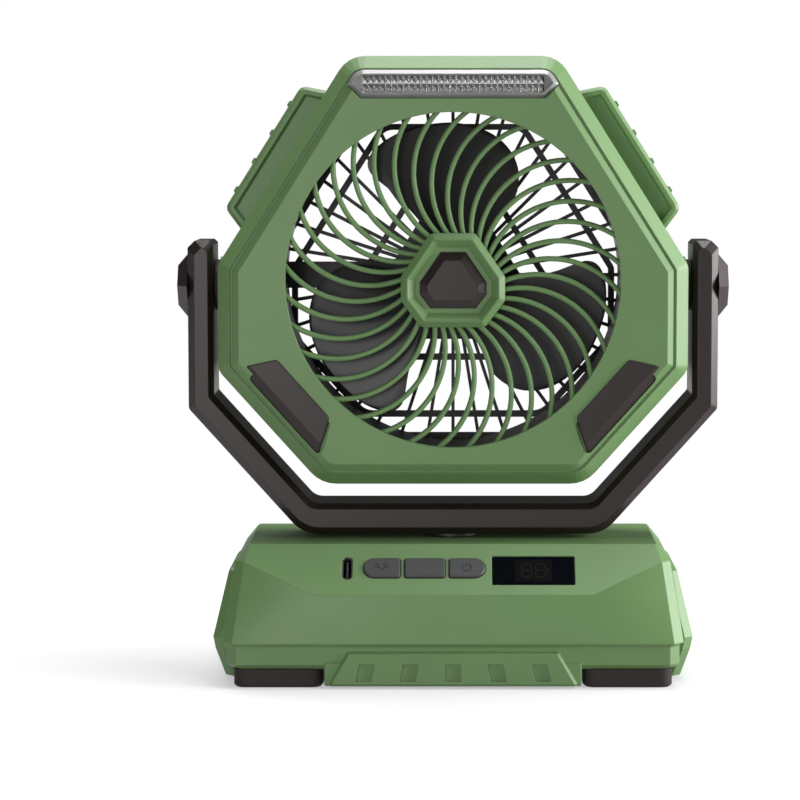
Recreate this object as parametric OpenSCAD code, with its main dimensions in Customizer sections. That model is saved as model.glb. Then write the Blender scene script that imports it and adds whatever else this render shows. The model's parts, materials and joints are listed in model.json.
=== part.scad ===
// Portable camping fan: a faceted head with a light bar and a guarded three-blade fan. The head tilts
// in a yoke, and the yoke swivels on a battery base. Millimetres, +Z up, the front faces -Y, and the
// origin is on the ground under the middle of the object.

/* [Fan] */
// Radius of the round opening in the head
opening_r = 58.5; // [54:0.5:62]
// Gap between the blade tips and the edge of the opening, seen from the front
tip_gap = 3.5; // [2:0.5:8]
// Number of blades
blade_count = 3; // [2:1:4]
// Thickness of a blade
blade_t = 1.6; // [1.2:0.1:2.4]
// Rise of a blade along the axis at its root
root_rise = 11; // [6:0.5:12]
// Rise of a blade along the axis at its tip
tip_rise = 8; // [5:0.5:10]
// Radius of the fan's own hub
fan_hub_r = 16; // [14.5:0.5:18]
// Radius of the motor can
motor_r = 12.5; // [10:0.5:13]
// Radius of the motor shaft
shaft_r = 1.5; // [1:0.1:2.5]

/* [Grille and guard] */
// Number of swept ribs in front of the fan
rib_count = 36; // [18:1:38]
// Width of a front rib
rib_w = 1.8; // [1.2:0.1:2.1]
// Depth of a front rib
rib_d = 2.4; // [1.8:0.1:2.8]
// Radius of the arc that a front rib follows
rib_sweep_r = 31; // [29:0.5:36]
// Number of spokes behind the fan
spoke_count = 40; // [20:1:44]
// Width of a rear spoke
spoke_w = 1.2; // [0.8:0.1:1.6]
// Depth of the rear guard's bars
guard_d = 3; // [2:0.1:3.6]
// Width of the channel that carries the motor's wires
channel_w = 9.5; // [6:0.5:12]

/* [Head] */
// Depth of the head, front to back
head_depth = 44; // [42:0.5:50]
// Face above the opening, where the light bar sits
brow_h = 19.5; // [18.5:0.5:24]
// Face below the opening
chin_h = 13.5; // [13:0.5:20]
// Face at each side of the opening
cheek_w = 24; // [21:0.5:26]
// Half width of the head's flat top
top_half = 36.5; // [34:0.5:40]
// Half width of the head's flat bottom
bottom_half = 46.5; // [44:0.5:50]
// Height of the fan axis above the tilt pivot
fan_up = 2.5; // [0:0.5:4]
// Wall of the head's shells
head_wall = 2.2; // [1.8:0.1:2.6]
// Thickness of the head's face
face_wall = 3; // [2.6:0.1:3.4]
// Width of the slanted band round the face
band_w = 4.6; // [4:0.2:6]
// Width of the bevel between the band's groove and the flat face
brow_bevel = 2.2; // [1.6:0.2:3]
// How far the side grips stand out
grip_out = 9; // [6:0.5:9.5]
// Length of a side grip where it meets the head
grip_len = 61; // [50:1:66]

/* [Yoke] */
// Thickness of an arm
arm_t = 9; // [8:0.5:12]
// Thickness of the bar and of the slanted legs
bar_t = 13; // [11:0.5:15]
// Depth of the yoke, front to back
yoke_depth = 26; // [20:1:34]
// Gap between an arm and the head's side
side_gap = 2; // [1.8:0.1:4]
// Gap between the bar and the bottom of the head
bar_gap = 5.5; // [5:0.5:10]
// Height of an arm's end above the pivot
arm_up = 16; // [14:0.5:22]
// How far a pivot cap stands out
cap_out = 4; // [2:0.5:6]
// Radius of a pivot pin
pin_r = 4; // [3:0.1:4.6]

/* [Base] */
// Height of the base
base_h = 48; // [47:0.5:52]
// Half width of the base's top face
base_top_half = 70; // [66:0.5:74]
// Half depth of the base's top face
base_top_y = 25; // [22:0.5:28]
// Half depth of the base at its widest
base_y = 42; // [40:0.5:46]
// Half width of the base's body at its widest
base_half_w = 80; // [77:0.5:84]
// Height of the line where the two base shells meet
parting_z = 15.5; // [13:0.5:17]
// Wall of the base's shells
base_wall = 2.4; // [2:0.1:2.8]
// Height of the feet
foot_h = 6.5; // [5:0.5:8]
// How far an end plate stands out from the body
plate_out = 4; // [2:0.5:6]

/* [Swivel] */
// Radius of the hollow swivel post
post_r = 6.5; // [5.5:0.1:8]
// Radius of the disc under the yoke
disc_r = 10.5; // [9.5:0.5:14]
// Height of the gap between the base and the yoke
disc_h = 1.5; // [1.2:0.1:3]
// Module of the swivel gears
gear_module = 1; // [0.8:0.05:1.1]
// Teeth on the yoke's gear
gear_teeth = 36; // [30:1:40]
// Teeth on the motor's pinion
pinion_teeth = 12; // [12:1:16]
// Thickness of the swivel gears
gear_t = 4; // [3:0.5:5]

/* [Controls] */
// Height of the buttons along the panel
button_h = 8; // [6:0.5:9]
// How far a button stands out of the panel
button_out = 0.8; // [0.6:0.1:1.5]
// Travel of a button
button_travel = 0.6; // [0.3:0.1:0.8]
// Width of the display
display_w = 28; // [24:0.5:30]
// Height of the display along the panel
display_h = 11.4; // [9:0.2:12]
// Radius of a battery cell
cell_r = 9.2; // [8:0.1:9.4]
// Length of a battery cell
cell_len = 65; // [60:1:70]

/* [Hidden] */

// Facets of a true circle
$fn = 64;
// Overrun of every cut
cut = 0.5;
// Clearance of a turning or sliding fit, on the radius or the side
fit = 0.05;
// Clearance between fixed pieces that lie face to face
seat = 0.1;
// Least radius of a rounded corner
least_r = 0.15;

// Colours
shell_green = [0.45, 0.56, 0.40];
trim_black = [0.16, 0.14, 0.14];
yoke_black = [0.19, 0.17, 0.17];
steel = [0.70, 0.70, 0.72];
board_green = [0.10, 0.32, 0.18];
smoke = [0.60, 0.60, 0.58];
glass_black = [0.02, 0.03, 0.04];
button_grey = [0.32, 0.31, 0.32];

// Outline helpers. An outline runs counterclockwise.
function unit(v) = v / norm(v);
function left_of(v) = [-v.y, v.x];
function bend(a, b) = a.x * b.y - a.y * b.x;
function backwards(points) = [for (i = [len(points) - 1:-1:0]) points[i]];
function mirrored(points) = [for (i = [len(points) - 1:-1:0]) [-points[i].x, points[i].y]];
function both_sides(points) = concat(points, mirrored(points));
function shared(points, share) = [for (p = points) share * p];
function moved(points, by) = [for (p = points) p + by];

// The arc that rounds one corner of an outline that is drawn in by an inset
function corner(before, at, after, r, inset, steps) =
    let (
        n1 = left_of(unit(at - before)),
        n2 = left_of(unit(after - at)),
        side = bend(n1, n2) >= 0 ? 1 : -1,
        round_r = max(r - side * inset, least_r),
        centre = at + (inset + side * round_r) * (n1 + n2) / (1 + n1 * n2),
        start = atan2(n1.y, n1.x),
        turn = side * acos(min(1, n1 * n2))
    )
    [for (i = [0:steps]) centre - side * round_r * [
        cos(start + turn * i / steps), sin(start + turn * i / steps)]];

function rounded(points, radii, inset = 0, steps = 4) =
    let (n = len(points))
    [for (i = [0:n - 1]) each corner(
        points[(i + n - 1) % n], points[i], points[(i + 1) % n], radii[i], inset, steps)];

function same_r(points, r) = [for (p = points) r];

// A solid through outlines of equal length, each given as [height, outline]. Where the outline isn't
// convex, cells lists the convex cells of its end faces by their corners' indices.
module loft(rings, cells = []) {
    n = len(rings[0][1]);
    m = len(rings);
    ends = len(cells) > 0 ? cells : [[for (i = [0:n - 1]) i]];
    polyhedron(
        points = [for (ring = rings) for (p = ring[1]) [p.x, p.y, ring[0]]],
        faces = concat(
            ends,
            [for (c = ends) [for (k = [len(c) - 1:-1:0]) (m - 1) * n + c[k]]],
            [for (j = [0:m - 2]) for (i = [0:n - 1])
                [j * n + i, (j + 1) * n + i, (j + 1) * n + (i + 1) % n, j * n + (i + 1) % n]]),
        convexity = 6);
}

module prism(points, from, to) {
    translate([0, 0, from]) linear_extrude(height = to - from) polygon(points);
}

module ring(outer, inner, from, to) {
    translate([0, 0, from]) difference() {
        cylinder(r = outer, h = to - from);
        translate([0, 0, -cut]) cylinder(r = inner, h = to - from + 2 * cut);
    }
}

// Main heights and widths
yoke_z = base_h + disc_h;
head_up = fan_up + opening_r + brow_h;
head_down = opening_r - fan_up + chin_h;
head_half_w = opening_r + cheek_w;
pivot_z = yoke_z + bar_t + bar_gap + head_down;
fan_axis = [0, fan_up];
face_h = head_depth / 2;

// The head is drawn on the plane of its face: X across, Y up from the pivot, height towards the front
module on_head() translate([0, 0, pivot_z]) rotate([90, 0, 0]) children();
module on_fan() on_head() translate([0, fan_up, 0]) children();

// Head outline
side_top_share = 0.092;
side_low_share = 0.357;
side_top = side_top_share * head_half_w;
side_low = side_low_share * head_half_w;
head_half_points = [
    [bottom_half, -head_down], [head_half_w, -side_low], [head_half_w, side_top], [top_half, head_up]];
head_points = both_sides(head_half_points);
head_low_r = 12;
head_side_r = 6;
head_top_r = 10.5;
head_half_radii = [head_low_r, head_side_r, head_side_r, head_top_r];
head_radii = concat(head_half_radii, backwards(head_half_radii));
function head_outline(inset = 0, share = 1, steps = 4) =
    rounded(shared(head_points, share), share * head_radii, inset, steps);

// Head sections, front to back
head_parting = 6;
band_rise = 4.9;
groove_w = 0.9;
groove_d = 0.6;
parting_bevel = 0.5;
face_step = 1.5;
face_inset = band_w + groove_w + brow_bevel;
band_high = face_h - face_step;
band_low = band_high - band_rise;
back_bevel = 5;
back_h = -face_h;
back_wall = 2.4;

// Round duct behind the opening
lip_w = 2.5;
collar_t = 1.6;
duct_wall = 1.8;
duct_room = 1.2;
duct_in = opening_r + duct_room;
grille_r = opening_r + lip_w;
grille_back = face_h - face_wall - rib_d - seat;
grille_front = grille_back + rib_d;

// Screws that join the head's shells
screw_r = 1.2;
screw_head_r = 2.3;
screw_head_h = 1.6;
boss_r = 3.4;
screw_proud = 0.4;
head_screw_bite = 6;
head_screw_len = head_parting + face_h + head_screw_bite;
screw_ring_share = 0.865;
brow_screw_share = 0.27;
side_screw_share = 0.7;
head_screw_half_points = screw_ring_share * [
    [bottom_half, -head_down], [head_half_w, -side_low * side_screw_share],
    [top_half, head_up] + brow_screw_share * [head_half_w - top_half, side_top - head_up]];
head_screw_points = both_sides(head_screw_half_points);

// Light bar: a long six-sided window above the opening, whose upper edge lies in the band's groove
lamp_low_half = 32;
lamp_half = 37;
lamp_top_half = 33.9;
lamp_h = 9.8;
lamp_t = 2;
lamp_bevel = 1.4;
lamp_bevel_d = 1.5;
lamp_ledge = 1.3;
lamp_board_t = 1.6;
lamp_die_t = 0.6;
lamp_die = 2.8;
lamp_count = 9;
lamp_r = 0.8;
lamp_top_r = 5;
lamp_up = head_up - band_w - groove_w / 3 - lamp_h / 2;
lamp_points = both_sides([[lamp_low_half, -lamp_h / 2], [lamp_half, 0], [lamp_top_half, lamp_h / 2]]);
lamp_radii = [lamp_r, lamp_r, lamp_top_r, lamp_top_r, lamp_r, lamp_r];
function lamp_outline(inset) = moved(rounded(lamp_points, lamp_radii, inset), [0, lamp_up]);

// Black pads on the lower corners of the face. Their outer edges run along the head's lower corners.
pad_t = 2;
pad_recess = 1.4;
pad_bevel = 1.6;
pad_slope = unit([head_half_w - bottom_half, head_down - side_low]);
pad_out = [pad_slope.y, -pad_slope.x];
pad_middle = ([head_half_w, -side_low] + [bottom_half, -head_down]) / 2;
pad_outer_half = 19.5;
pad_inner_half = 13;
pad_w = 10.5;
pad_over = 1;
pad_edge = face_inset - pad_over;
pad_shift = 0.5;
function pad_at(along, inward) = pad_middle + along * pad_slope - (pad_edge + inward) * pad_out;
pad_points = [
    pad_at(-pad_outer_half, 0), pad_at(pad_outer_half - pad_shift, 0),
    pad_at(pad_inner_half, pad_w), pad_at(-pad_inner_half, pad_w)];
pad_r = 1.6;
function pad_outline(inset) = rounded(pad_points, same_r(pad_points, pad_r), inset, 3);

// Side grips behind the face, on the upper corners
grip_slope = unit([head_half_w - top_half, side_top - head_up]);
grip_normal = [-grip_slope.y, grip_slope.x];
grip_middle = ([top_half, head_up] + [head_half_w, side_top]) / 2;
grip_taper = 5;
grip_root = 4;
grip_step = 1.4;
grip_front = head_parting - grip_step;
grip_back = -15;
grip_rim = 2.6;
grip_sink = 1.6;
grip_bevel = 1.2;
bump_count = 4;
bump_w = 3.4;
bump_h = 0.8;
bump_span_share = 0.7;
function grip_at(along, outward) = grip_middle + along * grip_slope + outward * grip_normal;
grip_points = [
    grip_at(grip_len / 2, -grip_root), grip_at(grip_len / 2 - grip_taper, grip_out),
    grip_at(-grip_len / 2 + grip_taper, grip_out), grip_at(-grip_len / 2, -grip_root)];
grip_r = 3;
function grip_outline(inset) = rounded(grip_points, same_r(grip_points, grip_r), inset, 3);

// Rear guard
guard_frame_share = 0.825;
guard_shares = [0.30, 0.41, 0.71, guard_frame_share];
guard_bar_w = 2.2;
guard_centre_share = 0.285;
guard_edge_share = 0.905;
guard_hole_share = 0.845;
rebate_d = 1.5;
guard_sink = 0.4;
guard_back = back_h + guard_sink;
guard_front = guard_back + guard_d;

// Boss and cap in the middle of the grille
hub_half = 18.2;
hub_shares = [[0.615, -0.896], [1, -0.385], [1, 0.077], [0.429, 0.907]];
hub_points = both_sides(hub_half * hub_shares);
hub_r = 2.4;
hub_rise = 4.2;
hub_bevel = 1.7;
hub_land = 1.3;
hub_recess_w = 2.2;
hub_recess_d = 2.4;
cap_t = 2.1;
cap_bevel = 2.3;
cap_gap = 0.35;
function hub_outline(inset) = rounded(hub_points, same_r(hub_points, hub_r), inset, 3);
hub_base = grille_front + seat;
hub_floor = hub_base + hub_rise - hub_recess_d;
hub_cap_inset = hub_bevel + hub_land + hub_recess_w + cap_gap;

// Fan, motor and shaft
fan_room = 3;
fan_front = grille_back - fan_room;
fan_cup_t = 2;
fan_cup_d = 13;
fan_cup_wall = 1.7;
blade_sink = 1.2;
fan_mid = fan_front - root_rise / 2 - blade_sink;
motor_room = 2;
motor_front = fan_front - fan_cup_t - motor_room;
bearing_t = 2.5;
bearing_r = 4;
motor_foot_r = 14.5;
motor_foot_t = 1.6;
shaft_back = guard_front + motor_foot_t + motor_room / 2;

module front_shell() color(shell_green) on_head() difference() {
    union() {
        difference() {
            loft([
                [head_parting, head_outline(parting_bevel)],
                [head_parting + parting_bevel, head_outline()],
                [band_low, head_outline()],
                [band_high, head_outline(band_w)],
                [band_high - groove_d, head_outline(band_w)],
                [band_high - groove_d, head_outline(band_w + groove_w)],
                [band_high, head_outline(band_w + groove_w)],
                [face_h, head_outline(face_inset)]]);
            loft([
                [head_parting - cut, head_outline(head_wall)],
                [band_low - head_wall, head_outline(head_wall)],
                [face_h - face_wall, head_outline(band_w + groove_w + head_wall)]]);
        }
        translate([0, fan_up, 0])
            ring(grille_r + fit + collar_t, grille_r + fit, grille_back + seat, face_h - cut);
        for (p = head_screw_points)
            translate([p.x, p.y, 0]) ring(boss_r, screw_r, head_parting + seat, face_h - face_wall + cut);
    }
    translate([0, fan_up, 0]) {
        translate([0, 0, head_parting]) cylinder(r = opening_r, h = head_depth, $fn = 128);
        translate([0, 0, face_h - face_wall - cut]) cylinder(r = grille_r + fit, h = cut);
    }
    prism(lamp_outline(-seat), face_h - lamp_t - seat, face_h + cut);
    prism(lamp_outline(lamp_ledge), face_h - 2 * face_wall, face_h);
    for (s = [0, 1]) mirror([s, 0, 0]) prism(pad_outline(-seat), face_h - pad_recess, face_h + cut);
}

// One rib of the grille: a bar along an arc, from the boss to the ring
rib_start_r = 15;
rib_tuck = 0.6;
rib_end_r = grille_r - rib_tuck;
ring_lap = 0.3;
rib_lean = 23;
rib_root_r = 17.7;
rib_centre = rib_root_r * [1, 0] + rib_sweep_r * [sin(rib_lean), -cos(rib_lean)];
rib_steps = 10;
function arc_angle(r) =
    // Angle along the rib's arc where it is r away from the fan axis
    let (d = norm(rib_centre), base = atan2(-rib_centre.y, -rib_centre.x))
    base - acos((d * d + rib_sweep_r * rib_sweep_r - r * r) / (2 * d * rib_sweep_r));
function rib_side(r) = [
    for (i = [0:rib_steps])
        let (a = arc_angle(rib_start_r) + (arc_angle(rib_end_r) - arc_angle(rib_start_r)) * i / rib_steps)
        rib_centre + r * [cos(a), sin(a)]];
rib_points = concat(rib_side(rib_sweep_r - rib_w / 2), backwards(rib_side(rib_sweep_r + rib_w / 2)));
rib_phase = 9;

module front_grille() color(shell_green) on_fan() {
    translate([0, 0, grille_back]) linear_extrude(height = rib_d) {
        difference() {
            circle(r = grille_r - fit, $fn = 128);
            circle(r = opening_r + ring_lap, $fn = 128);
        }
        polygon(hub_outline(ring_lap));
        for (i = [0:rib_count - 1]) rotate(rib_phase + i * 360 / rib_count) polygon(rib_points);
    }
}

module hub_boss() color(shell_green) on_fan() loft([
    [hub_base, hub_outline(0)],
    [hub_base + hub_rise - hub_bevel, hub_outline(0)],
    [hub_base + hub_rise, hub_outline(hub_bevel)],
    [hub_base + hub_rise, hub_outline(hub_bevel + hub_land)],
    [hub_floor, hub_outline(hub_bevel + hub_land + hub_recess_w)]]);

module hub_cap() color(trim_black) on_fan() loft([
    [hub_floor, hub_outline(hub_cap_inset)],
    [hub_floor + cap_t - cap_bevel / 3, hub_outline(hub_cap_inset)],
    [hub_floor + cap_t, hub_outline(hub_cap_inset + cap_bevel)]]);

module lamp_lens() color(smoke) on_head() loft([
    [face_h - lamp_t, lamp_outline(0)],
    [face_h - lamp_bevel_d, lamp_outline(0)],
    [face_h, lamp_outline(lamp_bevel)]]);

module lamp_board() color(board_green) on_head() {
    board_front = face_h - lamp_t - lamp_die_t - seat;
    prism(lamp_outline(lamp_ledge + seat), board_front - lamp_board_t, board_front);
    for (i = [0:lamp_count - 1])
        translate([(i - (lamp_count - 1) / 2) * 2 * lamp_low_half / lamp_count, lamp_up, board_front])
            translate([-lamp_die / 2, -lamp_die / 2, 0]) cube([lamp_die, lamp_die, lamp_die_t]);
}

module corner_pad() on_head() loft([
    [face_h - pad_recess + fit, pad_outline(0)],
    [face_h - pad_recess + pad_t - pad_bevel / 2, pad_outline(0)],
    [face_h - pad_recess + pad_t, pad_outline(pad_bevel)]]);
module corner_pad_right() color(trim_black) corner_pad();
module corner_pad_left() color(trim_black) mirror([1, 0, 0]) corner_pad();

pivot_boss_r = 10;
pivot_boss_gap = 1.5;
pivot_boss_in = duct_in + duct_wall + pivot_boss_gap;
pin_floor = 2;
pin_in = pivot_boss_in + pin_floor;

module grip() {
    loft([
        [grip_back, grip_outline(grip_bevel)],
        [grip_back + grip_bevel, grip_outline(0)],
        [grip_front - grip_bevel, grip_outline(0)],
        [grip_front, grip_outline(grip_bevel)],
        [grip_front, grip_outline(grip_rim)],
        [grip_front - grip_sink, grip_outline(grip_rim + grip_sink / 2)]]);
    for (i = [0:bump_count - 1]) {
        along = (i / (bump_count - 1) - 0.5) * bump_span_share * (grip_len - 2 * grip_taper);
        prism([
            grip_at(along + bump_w / 2, grip_out - cut), grip_at(along + bump_w / 4, grip_out + bump_h),
            grip_at(along - bump_w / 4, grip_out + bump_h), grip_at(along - bump_w / 2, grip_out - cut)],
            grip_back + 2 * grip_bevel, grip_front - 2 * grip_bevel);
    }
}

module rear_shell() color(shell_green) on_head() difference() {
    union() {
        difference() {
            union() {
                loft([
                    [back_h, head_outline(back_bevel)],
                    [back_h + back_bevel, head_outline()],
                    [head_parting - parting_bevel - seat, head_outline()],
                    [head_parting - seat, head_outline(parting_bevel)]]);
                for (s = [0, 1]) mirror([s, 0, 0]) grip();
            }
            loft([
                [back_h + back_wall, head_outline(back_bevel + head_wall / 2)],
                [back_h + back_wall + back_bevel - head_wall / 2, head_outline(head_wall)],
                [head_parting + cut, head_outline(head_wall)]]);
        }
        for (p = head_screw_points)
            translate([p.x, p.y, 0]) ring(boss_r, screw_r + fit, back_h + rebate_d, head_parting - seat);
        for (s = [-1, 1]) difference() {
            translate([s * pivot_boss_in, 0, 0]) rotate([0, s * 90, 0])
                cylinder(r = pivot_boss_r, h = head_half_w - pivot_boss_in);
            translate([-2 * head_half_w, -head_half_w, head_parting - seat])
                cube([4 * head_half_w, 2 * head_half_w, pivot_boss_r]);
        }
    }
    prism(head_outline(0, guard_hole_share), back_h - cut, back_h + back_wall + cut);
    prism(head_outline(-seat, guard_edge_share), back_h - cut, back_h + rebate_d);
    for (p = head_screw_points) translate([p.x, p.y, back_h]) cylinder(r = screw_r + fit, h = head_depth / 2);
    for (s = [-1, 1]) translate([s * pin_in, 0, 0]) rotate([0, s * 90, 0])
        cylinder(r = pin_r, h = head_half_w);
}

module rear_guard() color(trim_black) on_head() difference() {
    guard_bars();
    for (p = head_screw_points) translate([p.x, p.y, back_h - cut])
        cylinder(r = screw_r + fit, h = head_depth);
}

module guard_bars() {
    translate([0, 0, guard_back]) linear_extrude(height = guard_d) {
        for (share = guard_shares) difference() {
            polygon(head_outline(0, share));
            polygon(head_outline(guard_bar_w, share));
        }
        polygon(head_outline(0, guard_centre_share));
        translate(fan_axis) intersection() {
            for (i = [0:spoke_count - 1]) rotate(90 + i * 360 / spoke_count)
                translate([0, -spoke_w / 2]) square([head_half_w, spoke_w]);
            polygon(moved(head_outline(guard_bar_w / 2, guard_frame_share), -fan_axis));
        }
        translate([-guard_frame_share * head_half_w + guard_bar_w / 2, fan_up - channel_w / 2])
            square([guard_frame_share * head_half_w - guard_bar_w / 2, channel_w]);
    }
    translate([0, 0, guard_back]) linear_extrude(height = rebate_d - guard_sink - seat) difference() {
        polygon(head_outline(0, guard_edge_share));
        polygon(head_outline(guard_bar_w, guard_frame_share));
    }
}

// Tube between the grille and the guard that the fan turns in
module fan_duct() color(trim_black) on_fan()
    ring(duct_in + duct_wall, duct_in, guard_front + seat, grille_back - seat);

module fan_motor() color(steel) on_fan() difference() {
    union() {
        translate([0, 0, guard_front + seat]) cylinder(r = motor_r, h = motor_front - guard_front - seat);
        translate([0, 0, guard_front + seat]) cylinder(r = motor_foot_r, h = motor_foot_t);
    }
    translate([0, 0, guard_front + motor_foot_t]) cylinder(r = shaft_r + fit, h = head_depth);
    translate([0, 0, motor_front - bearing_t]) cylinder(r = bearing_r, h = head_depth);
}

module motor_bearing() color(steel) on_fan()
    ring(bearing_r - fit, shaft_r + fit, motor_front - bearing_t + fit, motor_front);

module motor_shaft() color(steel) on_fan()
    translate([0, 0, shaft_back]) cylinder(r = shaft_r, h = fan_front - fan_cup_t / 2 - shaft_back);

// Fan blade. A blade is a sheet between two swept edges, pitched along the axis.
blade_r = opening_r - tip_gap;
blade_radius_shares = [0.27, 0.38, 0.52, 0.66, 0.78, 0.87, 0.94, 0.98, 1];
blade_leading_angles = [116, 119, 122, 124.5, 127, 127.8, 125, 118, 108];
blade_trailing_angles = [52, 51.5, 51.5, 52.5, 57, 63, 71, 80, 90];
blade_low_angle = 52;
blade_high_angle = 128;
blade_columns = 10;
function blade_point(j, i, up) =
    let (
        r_share = blade_radius_shares[j],
        across = i / blade_columns,
        angle = blade_trailing_angles[j] + across * (blade_leading_angles[j] - blade_trailing_angles[j]),
        rise = root_rise + (tip_rise - root_rise) * r_share,
        height = rise * ((angle - blade_low_angle) / (blade_high_angle - blade_low_angle) - 0.5)
    )
    [blade_r * r_share * cos(angle), blade_r * r_share * sin(angle), height + up];

module blade() {
    rows = len(blade_radius_shares);
    n = blade_columns + 1;
    m = rows * n;
    polyhedron(
        points = concat(
            [for (j = [0:rows - 1]) for (i = [0:n - 1]) blade_point(j, i, -blade_t / 2)],
            [for (j = [0:rows - 1]) for (i = [0:n - 1]) blade_point(j, i, blade_t / 2)]),
        faces = concat(
            [for (j = [0:rows - 2]) for (i = [0:n - 2]) each [
                [j * n + i, (j + 1) * n + i, (j + 1) * n + i + 1],
                [j * n + i, (j + 1) * n + i + 1, j * n + i + 1],
                [m + j * n + i, m + (j + 1) * n + i + 1, m + (j + 1) * n + i],
                [m + j * n + i, m + j * n + i + 1, m + (j + 1) * n + i + 1]]],
            [for (j = [0:rows - 2]) each [
                [j * n, m + j * n, m + (j + 1) * n, (j + 1) * n],
                [j * n + n - 1, (j + 1) * n + n - 1, m + (j + 1) * n + n - 1, m + j * n + n - 1]]],
            [for (i = [0:n - 2]) each [
                [i, i + 1, m + i + 1, m + i],
                [(rows - 1) * n + i, m + (rows - 1) * n + i, m + (rows - 1) * n + i + 1,
                    (rows - 1) * n + i + 1]]]),
        convexity = 4);
}

module impeller() color(trim_black) on_fan() difference() {
    union() {
        translate([0, 0, fan_front - fan_cup_d]) cylinder(r = fan_hub_r, h = fan_cup_d);
        translate([0, 0, fan_mid]) for (i = [0:blade_count - 1]) rotate(i * 360 / blade_count) blade();
    }
    translate([0, 0, fan_front - fan_cup_d - cut])
        cylinder(r = fan_hub_r - fan_cup_wall, h = fan_cup_d - fan_cup_t + cut);
    cylinder(r = shaft_r, h = fan_front - fan_cup_t / 2);
}

module head_screws() color(steel) on_head() for (p = head_screw_points)
    translate([p.x, p.y, guard_back - screw_proud]) {
        cylinder(r = screw_head_r, h = screw_proud - seat / 2);
        cylinder(r = screw_r - fit, h = head_screw_len);
    }

// Tilt pivots
washer_r = 9;
washer_gap = 0.3;
arm_in = head_half_w + side_gap;
arm_out = arm_in + arm_t;
pin_short = 1;
module pivot_pin() translate([pin_in, 0, pivot_z]) rotate([0, 90, 0])
    cylinder(r = pin_r - fit, h = arm_out - pin_in - pin_short);
module pivot_pin_right() color(steel) pivot_pin();
module pivot_pin_left() color(steel) mirror([1, 0, 0]) pivot_pin();

module tilt_washer() translate([head_half_w, 0, pivot_z]) rotate([0, 90, 0])
    ring(washer_r, pin_r, fit, side_gap - washer_gap);
module tilt_washer_right() color(trim_black) tilt_washer();
module tilt_washer_left() color(trim_black) mirror([1, 0, 0]) tilt_washer();

// Yoke. Its inner edge follows the head's sides and lower corners at a gap.
leg_slope = unit([head_half_w - bottom_half, head_down - side_low]);
leg_normal = [leg_slope.y, -leg_slope.x];
leg_gap = 3.8;
bar_top = -head_down - bar_gap;
// The leg's line is leg_normal * point = leg_line
leg_line = leg_normal * [head_half_w, -side_low] + leg_gap;
function leg_z(x, line) = (leg_normal.x * x - line) / -leg_normal.y;
function leg_x(z, line) = (line - leg_normal.y * z) / leg_normal.x;
arm_chamfer = 2.5;
function yoke_path(in_inset, out_inset) = [
    [leg_x(bar_top - bar_t + out_inset, leg_line + bar_t - out_inset), bar_top - bar_t + out_inset],
    [arm_out - out_inset, leg_z(arm_out - out_inset, leg_line + bar_t - out_inset)],
    [arm_out - out_inset, arm_up - arm_chamfer - (sqrt(2) - 1) * out_inset],
    [arm_out - arm_chamfer - (sqrt(2) - 1) * out_inset, arm_up - out_inset],
    [arm_in + arm_chamfer + sqrt(2) * in_inset - out_inset, arm_up - out_inset],
    [arm_in + in_inset, arm_up - arm_chamfer - (sqrt(2) - 1) * in_inset],
    [arm_in + in_inset, leg_z(arm_in + in_inset, leg_line + in_inset)],
    [leg_x(bar_top - in_inset, leg_line + in_inset), bar_top - in_inset]];
function yoke_outline(in_inset, out_inset) = both_sides(yoke_path(in_inset, out_inset));
// The yoke's end faces in convex cells: legs and arms on each side, and the bar between them
yoke_cells = [
    [0, 1, 6, 7], [1, 2, 3, 4, 5, 6], [0, 7, 8, 15], [8, 9, 14, 15], [9, 10, 11, 12, 13, 14]];
yoke_in_bevel = 3;
yoke_out_bevel = 2;
yoke_bevel_d = 4;

module yoke() color(yoke_black) difference() {
    on_head() loft([
        [-yoke_depth / 2, yoke_outline(yoke_in_bevel, yoke_out_bevel)],
        [-yoke_depth / 2 + yoke_bevel_d, yoke_outline(0, 0)],
        [yoke_depth / 2 - yoke_bevel_d, yoke_outline(0, 0)],
        [yoke_depth / 2, yoke_outline(yoke_in_bevel, yoke_out_bevel)]],
        yoke_cells);
    for (s = [-1, 1]) translate([s * (arm_in - cut), 0, pivot_z]) rotate([0, s * 90, 0])
        cylinder(r = pin_r, h = arm_t + 2 * cut);
    translate([0, 0, yoke_z - cut]) cylinder(r = post_wire_r, h = bar_t + 2 * cut);
}

// Hexagonal caps over the pivots
cap_r = 13.2;
cap_face_r = 8.1;
module pivot_cap() translate([arm_out + fit, 0, pivot_z]) rotate([0, 90, 0]) rotate(30)
    cylinder(r1 = cap_r, r2 = cap_face_r, h = cap_out - fit, $fn = 6);
module pivot_cap_right() color(yoke_black) pivot_cap();
module pivot_cap_left() color(yoke_black) mirror([1, 0, 0]) pivot_cap();

// Swivel post, bush, gears and motor
post_wire_r = 3;
bush_t = 2.5;
bush_flange = 1.2;
bush_len = 9;
gear_drop = 17;
gear_z = base_h - gear_drop;
gear_top = gear_z + gear_t;
gear_step = 1.5;
gear_step_r = post_r - gear_step;
post_tail = 1.2;
disc_gap = 0.3;
gear_pitch_r = gear_module * gear_teeth / 2;
pinion_pitch_r = gear_module * pinion_teeth / 2;
gear_distance = gear_pitch_r + pinion_pitch_r;
gear_backlash = 0.25;
pressure = 25;
module swivel_post() color(trim_black) difference() {
    union() {
        translate([0, 0, base_h + disc_gap]) cylinder(r = disc_r, h = disc_h - disc_gap - fit);
        translate([0, 0, gear_top + fit]) cylinder(r = post_r, h = yoke_z - gear_top - 2 * fit);
        translate([0, 0, gear_z - post_tail]) cylinder(r = gear_step_r, h = gear_t + post_tail + 2 * fit);
    }
    translate([0, 0, gear_z - post_tail - cut]) cylinder(r = post_wire_r, h = base_h);
}

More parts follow.
